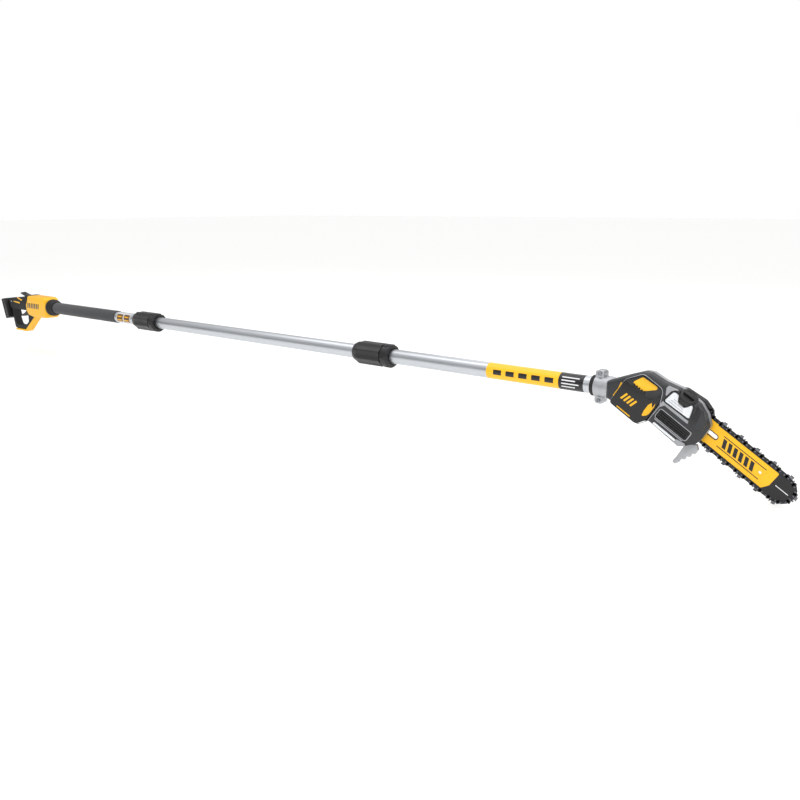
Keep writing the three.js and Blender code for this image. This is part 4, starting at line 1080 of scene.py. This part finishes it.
def capPiece():
    r = oilCap["radius"]
    body = turned("filler_cap",
                  [(-12, 0), (-12, 8.4, 0.8), (0, 8.4, 0.4), (0, r - 1, 1), (2, r, 1), (11, r, 1.5),
                   (14, r - 2.5, 1.5),
                                 (14, 12, 0.5), (13.2, 11, 0.5), (13.2, 0)], capPlace, "black")
    ribs = loft("rib", [(1.5, r - 1), (12, r - 1), (11.5, r + 0.7), (2, r + 0.7)],
                rounded(-0.9, 0.9, 0.3, steps=2), ownPlace,
                "black", 0.4, 2)
    ribs = repeated(ribs, "ring", oilCap["ribs"], (2 * math.pi / oilCap["ribs"], 0, 0), "black", capPlace)
    thumb = box("thumb", 12.5, 18, -3.2, 3.2, -12.5, 12.5, capPlace, "black", 1.5)
    return merge("filler_cap", [body, ribs, thumb])


def clampEars():
    width, far = head["clampWidth"], head["earReach"]
    ears = loft("ears", [(0, -far), (width, -far), (width, far), (0, far)], rounded(-12, 12, 2.5),
                clampPlace, "cast", 7)
    return carve(ears, sleeve("bore", 0, head["tubeRadius"] + 0.3, -5, width + 5, clampPlace, "cast"))


def gearHousing():
    # the drive side of the head with its neck and the fixed half of the clamp
    outline = head["outline"]
    face, back, width = head["caseFace"], head["caseBack"], head["clampWidth"]
    body = loft("gear_housing", outline, rounded(face, back, 0.4, 2.2), headPlace, "cast", 8)
    pocket = loft("pocket", outline, [(face - 2, 4), (back - 3, 4)], headPlace, "cast", 6)
    carve(body, pocket)
    neck = turned("neck", [(width - 1, 0), (width - 1, head["clampRadius"]),
                           (width + 12, head["clampRadius"], 3),
                           (head["neckEnd"], head["neckRadius"], 2), (head["neckEnd"], 0)], clampPlace,
                           "cast")
    nearSide = loft("nearSide", outline, [(face - 60, -0.3), (face, -0.3)], headPlace, "cast", 8)
    yoke = sleeve("yoke", head["tubeRadius"] + 0.3, head["clampRadius"], 0, width, clampPlace, "cast", 1.5)
    carve(yoke, clampEars(), operation="UNION")
    carve(yoke, box("away", -50, 80, -80, seam / 2, -80, 80, clampPlace, "cast"))
    carve(body, neck, yoke, operation="UNION")
    tubeWay = sleeve("tubeWay", 0, head["tubeRadius"] + 0.3, -10, 16.3, clampPlace, "cast")
    shaftWay = pin("shaftWay", sprocketReach, 0, 5.4, -20, 10, headPlace, "cast", sides=32)
    carve(body, nearSide, tubeWay, leadTool(), capTool(0.6), shaftWay)
    ribs = box("rib", -50, -2, back - 0.8, back + 1.6, -52, -49, ownPlace, "cast", 0.8)
    count, pitch = head["caseRibs"]
    ribs = repeated(ribs, "row", count, (0, 0, pitch * mm), "cast", headPlace)
    screws = [socketScrew(s, n, back, 1, headPlace) for s, n in head["screws"]]
    return merge("gear_housing", [body, ribs, *screws])


def clampHalf():
    # near half of the split clamp
    r, width = head["clampRadius"], head["clampWidth"]
    half = sleeve("tube_clamp_cap", head["tubeRadius"] + 0.3, r, 0, width, clampPlace, "cast", 1.5)
    ears = clampEars()
    screwWays = [pin("way", width / 2, side * head["clampScrewHeight"], 2.8, -20, 20, clampPlace, "cast",
                     sides=32) for side in (-1, 1)]
    away = box("away", -50, 80, -seam / 2, 80, -80, 80, clampPlace, "cast")
    carve(half, ears, operation="UNION")
    return carve(half, away, *screwWays)


def clampScrew(name, side):
    x, z = head["clampWidth"] / 2, side * head["clampScrewHeight"]
    shank = pin(name, x, z, 2.5, -13, 11, clampPlace, "steel", 0.3, 32)
    top = pin("top", x, z, 4.3, -16, -12.3, clampPlace, "steel", 0.6, 48)
    hexagon = pin("hexagon", x, z, 2.1, -18, -14, clampPlace, "steel", sides=6)
    return merge(name, [shank, carve(top, hexagon)])


cover = {
    "outline": [(14, -44, 10), (60, -46, 8), (97, -46, 8), (114, -28, 6), (116.5, -10, 6), (115, 18, 6),
                (98, 38, 8), (75, 46, 8),
                (30, 42, 10), (14, 30, 10)],
    "from": 0, "depth": 23, "wall": 2.5, "chainRoom": 40, "studAt": 100, "ribs": (7, 8),
}


def sideCoverPiece():
    y0 = cover["from"]
    y1 = y0 + cover["depth"] - 0.3
    shell = loft("drive_side_cover", cover["outline"], rounded(y0, y1, 0.4, 7, steps=6), headPlace, "black",
                 8)
    inner = loft("inner", cover["outline"], [(-2, cover["wall"]), (y1 - cover["wall"], cover["wall"])],
                 headPlace, "black", 8)
    chainWay = box("chainWay", 22, 160, -2, 9.7, -cover["chainRoom"], cover["chainRoom"], headPlace,
                   "black")
    carve(shell, inner, chainWay)
    seat = pin("seat", cover["studAt"], 0, 15, y1 - 9, y1 - 3, headPlace, "black")
    trimmed = loft("trimmed", cover["outline"], rounded(y0, y1, 0.4, 7, steps=6), headPlace, "black", 8)
    carve(seat, trimmed, operation="INTERSECT")
    carve(shell, seat, operation="UNION")
    nutWay = pin("nutWay", cover["studAt"], 0, 12, y1 - 6, 40, headPlace, "black")
    studWay = pin("studWay", cover["studAt"], 0, 4.4, 0, 40, headPlace, "black", sides=32)
    carve(shell, nutWay, studWay)
    ribs = box("rib", 24, 70, y1 - 0.8, y1 + 0.3, -26, -23, ownPlace, "black", 0.5)
    count, pitch = cover["ribs"]
    ribs = repeated(ribs, "row", count, (0, 0, pitch * mm), "black", headPlace)
    return merge("drive_side_cover", [shell, ribs])


def nutPiece():
    # hexagonal knob that holds the cover and clamps the bar
    at = cover["from"] + cover["depth"] - 6
    knob = loft("bar_clamp_nut",
                [(cover["studAt"] + 11 * math.cos(math.radians(a)), 11 * math.sin(math.radians(a)))
                                  for a in range(0, 360, 60)], rounded(at, at + 9, 0.6, 1.5), headPlace,
                                  "black", 2.5)
    return carve(knob, pin("bore", cover["studAt"], 0, 4.4, 0, 60, headPlace, "steel", sides=32))


def hookPiece():
    # toothed hook for pulling cut branches down
    outline = [(99, -46), (118, -32), (126, -39), (127, -50), (121, -55), (123, -62), (116, -67),
               (118, -74), (111, -79),
               (112, -87), (107, -96, 3), (100, -95, 4), (101, -82)]
    hook = loft("limb_hook", outline, rounded(-11, -3, 1.2, steps=3), headPlace, "cast", 1.5)
    return carve(hook, loft("caseWay", head["outline"], [(-20, -0.3), (10, -0.3)], headPlace, "cast", 8))


settled(gearHousing(), "saw_head", "cast_aluminium", "gear_case")
settled(shellBody(), "saw_head", "dark_grey_plastic", "head_shell")
settled(motorCover(), "saw_head", "black_plastic", "motor_cover")
settled(motorDetails(), "saw_head", "yellow_plastic")
# painted highlight: light grey lines along the head's panel edges, not a metal part
settled(paintedEdgeHighlights(), "saw_head", "satin_aluminium")
settled(neckStripe(), "saw_head", "yellow_plastic")
settled(bumper(), "saw_head", "dark_grey_plastic", "front_bumper")
settled(grille(), "saw_head", "black_plastic", "grille_panel")
settled(loft("level_window", head["window"], rounded(nearFace - 0.8, nearFace + 6, 0.6, 0.3), headPlace,
             "tank", 1.5),
        "saw_head", "white_plastic", "oil_level_window")
settled(tankPiece(), "saw_head", "white_plastic", "oil_tank")
settled(capPiece(), "oil_cap", "black_plastic", "oil_cap")
settled(clampHalf(), "saw_head", "cast_aluminium", "clamp_cap")
settled(clampScrew("clamp_bolt_top", 1), "saw_head", "tool_steel", "clamp_screw_top")
settled(clampScrew("clamp_bolt_bottom", -1), "saw_head", "tool_steel", "clamp_screw_bottom")
settled(sleeve("tube_gasket", 19.3, 23, -9, -0.3, clampPlace, "rubber", 1.5), "saw_head", "black_rubber",
        "tube_seal_ring")
settled(sideCoverPiece(), "side_cover", "black_plastic", "side_cover")
settled(nutPiece(), "bar_nut", "black_plastic", "bar_nut")
settled(hookPiece(), "saw_head", "cast_aluminium", "branch_hook")
print("saw head made")

# bar and chain
cutting = {
    "plane": 5, "thickness": 4, "half": 24.8, "tail": 70, "shoulder": 92, "noseStart": 268, "tip": 310,
    "sprocketRadius": 13,
    "slack": 6.3, "slot": (90, 138, 4.3), "nose": (288, 11.4), "hole": (240, 3),
    "tensionHole": (96, -14, 3.2),
    "chainGap": 0.5, "pitch": 9.525, "rivetLine": 2.7, "noseReach": 27, "coatFrom": 124, "noseFrom": 270,
    "plateCorner": 2.2, "coat": 0.12, "noseSlot": (3.6, 6.4), "slotRim": 1.9, "sink": 0.3,
    "yellowField": [(60, -23), (259.5, -23), (268, -8), (268, 23), (60, 23)],
    "marks": {"first": 156, "pitch": 13, "count": 6, "half": 4.1, "high": 9, "lean": 3.6, "ruleAt": 12.8,
              "rule": (146, 246), "noseLine": (276, 305)},
}


through = [(-10, 0), (20, 0)]  # a tool that goes right through the bar


def chainTrack(growth, slack=0.0, steps=16):
    # (x, z) points round the bar, clockwise seen from the near side
    half = cutting["half"] + growth
    rear = cutting["sprocketRadius"] + 2 + growth
    tip = cutting["tip"] + growth
    x0 = sprocketReach + slack
    start = Vector((cutting["noseStart"], half))
    bow = Vector((cutting["noseStart"] + cutting["noseReach"], half))
    peak = Vector((tip, half * 0.78))
    end = Vector((tip, 0))
    nose = []
    for k in range(steps + 1):
        gone, left = k / steps, 1 - k / steps
        early = start * left ** 3 + bow * 3 * gone * left ** 2
        nose.append(early + peak * 3 * gone * gone * left + end * gone ** 3)
    points = [(x0, rear), (cutting["shoulder"] + slack, half)] + [(p.x, p.y) for p in nose]
    points += [(p.x, -p.y) for p in reversed(nose[:-1])]
    points += [(cutting["shoulder"] + slack, -half), (x0, -rear)]
    for k in range(1, steps):
        angle = -math.pi / 2 - math.pi * k / steps
        points.append((x0 + rear * math.cos(angle), rear * math.sin(angle)))
    return points


def slotOutline():
    x0, x1, half = cutting["slot"]
    return [(x0, -half, 4), (x1, -half, 4), (x1, half, 4), (x0, half, 4)]


def barPiece():
    near = cutting["plane"] - cutting["thickness"] / 2
    far = near + cutting["thickness"]
    blade = loft("guide_rail", chainTrack(0, cutting["slack"]), rounded(near, far, 0.5, steps=2), headPlace,
                 "bar", 0, 1)
    tail = box("tail", -50, cutting["tail"], -20, 40, -60, 60, headPlace, "bar")
    slot = loft("slot", slotOutline(), through, headPlace, "bar")
    hole = pin("hole", cutting["hole"][0], 0, cutting["hole"][1], -10, 20, headPlace, "bar", sides=40)
    s, n, r = cutting["tensionHole"]
    tensionHole = pin("tensionHole", s, n, r, -10, 20, headPlace, "bar", sides=32)
    blackNose = box("blackNose", cutting["noseFrom"], cutting["tip"] + 4, 0, 10, -60, 60, headPlace, "bar")
    carve(blade, tail, slot, hole, tensionHole, blackNose)
    coat, sink = cutting["coat"], cutting["sink"]
    prints = barPrint(near - coat, near + sink) + barPrint(far - sink, far + coat)
    return merge("guide_rail", [blade, barCoat(near - coat, far + coat), *prints, slotRim(near)])


def barCoat(near, far):
    # black nose with the slot for its sprocket, and the black edges beside the yellow field
    coat = loft("coat", chainTrack(cutting["coat"], cutting["slack"]), [(near, 0), (far, 0)], headPlace,
                "gloss", 0, 1)
    window = loft("window", cutting["yellowField"], through, headPlace, "gloss", 3)
    tail = box("tail", -50, cutting["coatFrom"], -20, 40, -60, 60, headPlace, "gloss")
    at, reachOfNose = cutting["nose"]
    depth = cutting["noseSlot"]
    noseWay = pin("noseWay", at, 0, reachOfNose, *depth, headPlace, "gloss", sides=64)
    noseSlot = box("noseSlot", at, cutting["tip"] + 4, *depth, -11, 11, headPlace, "gloss")
    carve(noseWay, noseSlot, operation="UNION")
    carve(noseWay, pin("hub", at, 0, 2.6, 0, 10, headPlace, "gloss", sides=32))
    return carve(coat, window, tail, noseWay)


def barPrint(y0, y1):
    # slanted bars between two guide lines, and a pale centre line on the nose
    marks = cutting["marks"]
    pieces = []
    for k in range(marks["count"]):
        middle = marks["first"] + k * marks["pitch"]
        low, top = middle + marks["lean"], middle - marks["lean"]
        half, high = marks["half"], marks["high"]
        corners = [(low - half, -high), (low + half, -high), (top + half, high), (top - half, high)]
        pieces.append(loft("mark", corners, [(y0, 0), (y1, 0)], headPlace, "gloss", 0, 1))
    for side in (-1, 1):
        pieces.append(box("rule", *marks["rule"], y0, y1,
                          *onSide(side, marks["ruleAt"] - 0.9, marks["ruleAt"] + 0.9),
                          headPlace, "gloss", 0.05))
    pieces.append(box("noseLine", *marks["noseLine"], y0 - 0.15, y1 + 0.15, -0.8, 0.8, headPlace,
                      "filmWhite", 0.05))
    return pieces


def slotRim(near):
    # black line round the slot
    grow = cutting["slotRim"]
    rim = loft("slotRim", slotOutline(), [(near - cutting["coat"], -grow), (near + 0.5, -grow)], headPlace,
               "gloss", 4)
    return carve(rim, loft("slotWay", slotOutline(), through, headPlace, "gloss", 4))


def linkPlate(name, half, tall, y0, y1):
    # a plate that reaches past two rivets, with its edges eased
    corners = [(-half, -tall), (half, -tall), (half, tall), (-half, tall)]
    return loft(name, corners, rounded(y0, y1, 0.15, steps=1), ownPlace, "chain", cutting["plateCorner"], 2)


def rivetPair(y0, y1):
    at = cutting["pitch"] / 2
    return [pin("rivet", side * at, 0, 1.5, y0, y1, ownPlace, "cutter", 0.25, 10) for side in (-1, 1)]


def driveLink():
    depth = (-0.65, 0.65)
    flat = [(y, 0) for y in depth]
    tang = loft("tang", [(-5, 1), (5, 1), (2.4, -6.2), (-0.6, -7)], flat, ownPlace, "chain", 0.8, 2)
    bumper = loft("bumper", [(-4.5, 1), (4, 1), (3, 6.2, 1.5), (-1.5, 5.2, 2)], flat, ownPlace, "chain", 1,
                  2)
    return merge("driveLink", [linkPlate("plate", 7.4, 3, *depth), tang, bumper])


def strapPair():
    return [linkPlate("strap", 7.6, 3.1, *depth) for depth in ((-2.1, -0.7), (0.7, 2.1))]


def tieStrap():
    return merge("tieStrap", strapPair() + rivetPair(-2.5, 2.5))


def cutterLink(side):
    plates = strapPair()
    y0, y1 = onSide(side, -2.1, -0.7)
    tooth = [(-7, 1), (7, 1), (6.4, 6.6, 1), (4.4, 6.8, 1), (3.2, 3.4, 1), (1.6, 3.4, 1), (0.6, 8.6),
             (-6.6, 7.6)]
    wall = loft("wall", tooth, [(y0, 0), (y1, 0)], ownPlace, "cutter", 0.3, 1)
    top = loft("top", [(0.8, 8.8), (-6.8, 7.8), (-6.8, 6.9), (0.8, 7.8)],
               [(y, 0) for y in onSide(side, -2.9, 2.2)], ownPlace, "cutter", 0.2, 1)
    return merge("cutter", plates + [wall, top] + rivetPair(-2.5, 2.5))


def chainTree(links):
    # lays the links in turn along the incoming curve; every second one is a drive link
    tree = bpy.data.node_groups.new("chain_run", "GeometryNodeTree")
    for label, kind in (("Geometry", "Geometry"), ("Count", "Int")):
        tree.interface.new_socket(name=label, in_out="INPUT", socket_type="NodeSocket" + kind)
    tree.interface.new_socket(name="Geometry", in_out="OUTPUT", socket_type="NodeSocketGeometry")
    given = addNode(tree, "NodeGroupInput")
    path = addNode(tree, "GeometryNodeMeshToCurve", {"Mesh": given.outputs["Geometry"]})
    even = addNode(tree, "GeometryNodeResampleCurve",
                   {"Curve": path.outputs[0], "Count": given.outputs["Count"]})
    points = addNode(tree, "GeometryNodeCurveToPoints", {"Curve": even.outputs[0]}, mode="EVALUATED")
    turn = addNode(tree, "FunctionNodeAlignRotationToVector", {"Vector": points.outputs["Tangent"]},
                   axis="X", pivot_axis="Y")
    index = addNode(tree, "GeometryNodeInputIndex").outputs[0]
    place = addNode(tree, "FunctionNodeIntegerMath", {0: index, 1: len(links)}, operation="MODULO")
    joined = addNode(tree, "GeometryNodeJoinGeometry")
    for k, link in enumerate(links):
        chosen = addNode(tree, "FunctionNodeCompare", {2: place.outputs[0], 3: k}, data_type="INT",
                         operation="EQUAL")
        shape = addNode(tree, "GeometryNodeObjectInfo", {"Object": link}, transform_space="ORIGINAL")
        laid = addNode(tree, "GeometryNodeInstanceOnPoints", {
            "Points": points.outputs["Points"], "Selection": chosen.outputs[0],
            "Instance": shape.outputs["Geometry"],
            "Rotation": turn.outputs[0]})
        tree.links.new(laid.outputs[0], joined.inputs[0])
    real = addNode(tree, "GeometryNodeRealizeInstances", {0: joined.outputs[0]})
    addNode(tree, "NodeGroupOutput", {0: real.outputs[0]})
    return tree


def chainPiece():
    track = chainTrack(cutting["chainGap"] + cutting["rivetLine"])
    mesh = bpy.data.meshes.new("chain_run")
    points = [(x * mm, cutting["plane"] * mm, z * mm) for x, z in track]
    mesh.from_pydata(points, [(k, (k + 1) % len(points)) for k in range(len(points))], [])
    run = bpy.data.objects.new("cutting_chain", mesh)
    bpy.context.scene.collection.objects.link(run)
    length = sum((Vector(a) - Vector(b)).length for a, b in zip(track, track[1:] + track[:1]))
    groups = round(length / (8 * cutting["pitch"]))
    drive = driveLink()
    strap = tieStrap()
    nearCutter = cutterLink(-1)
    farCutter = cutterLink(1)
    links = [drive, nearCutter, drive, strap, drive, farCutter, drive, strap]
    tree = chainTree(links)
    maker = run.modifiers.new("chain", "NODES")
    maker.node_group = tree
    for item in tree.interface.items_tree:
        if item.in_out == "INPUT" and item.name == "Count":
            maker[item.identifier] = groups * len(links)
    settle(run)
    for link in (drive, strap, nearCutter, farCutter):
        bpy.data.objects.remove(link)
    run.data.transform(headPlace)
    return smoothed(run, 30)


settled(barPiece(), "guide_bar", "painted_bar", "guide_bar")
settled(chainPiece(), "guide_bar", "tool_steel", "saw_chain")
print("bar and chain made")

# the pieces that keep their own shape get their finish
carried = {
    "steel": ["terminal_block", "trigger_pin", "trigger_spring", "coupler_1_slip_ring",
              "coupler_2_slip_ring", "bar_stud",
              "tensioner_screw", "rotor", "idler_gear", "idler_axle", "drive_gear", "drive_sprocket",
              "nose_sprocket"],
    "black": ["trigger_switch", "receptacle_1", "receptacle_2", "plug_1", "plug_2", "cooling_fan",
              "oil_pump"],
    "rubber": ["rear_lead", "extension_lead", "head_lead", "oil_cap_gasket"],
    "copper": ["stator"],
    "board": ["control_board"],
}
for finish, nodes in carried.items():
    for node in nodes:
        slots = frame["nodes"][node].data.materials
        if len(slots) == 0:
            slots.append(finishes[finish])
        for k in range(len(slots)):
            slots[k] = finishes[finish]

print("all pieces in place")
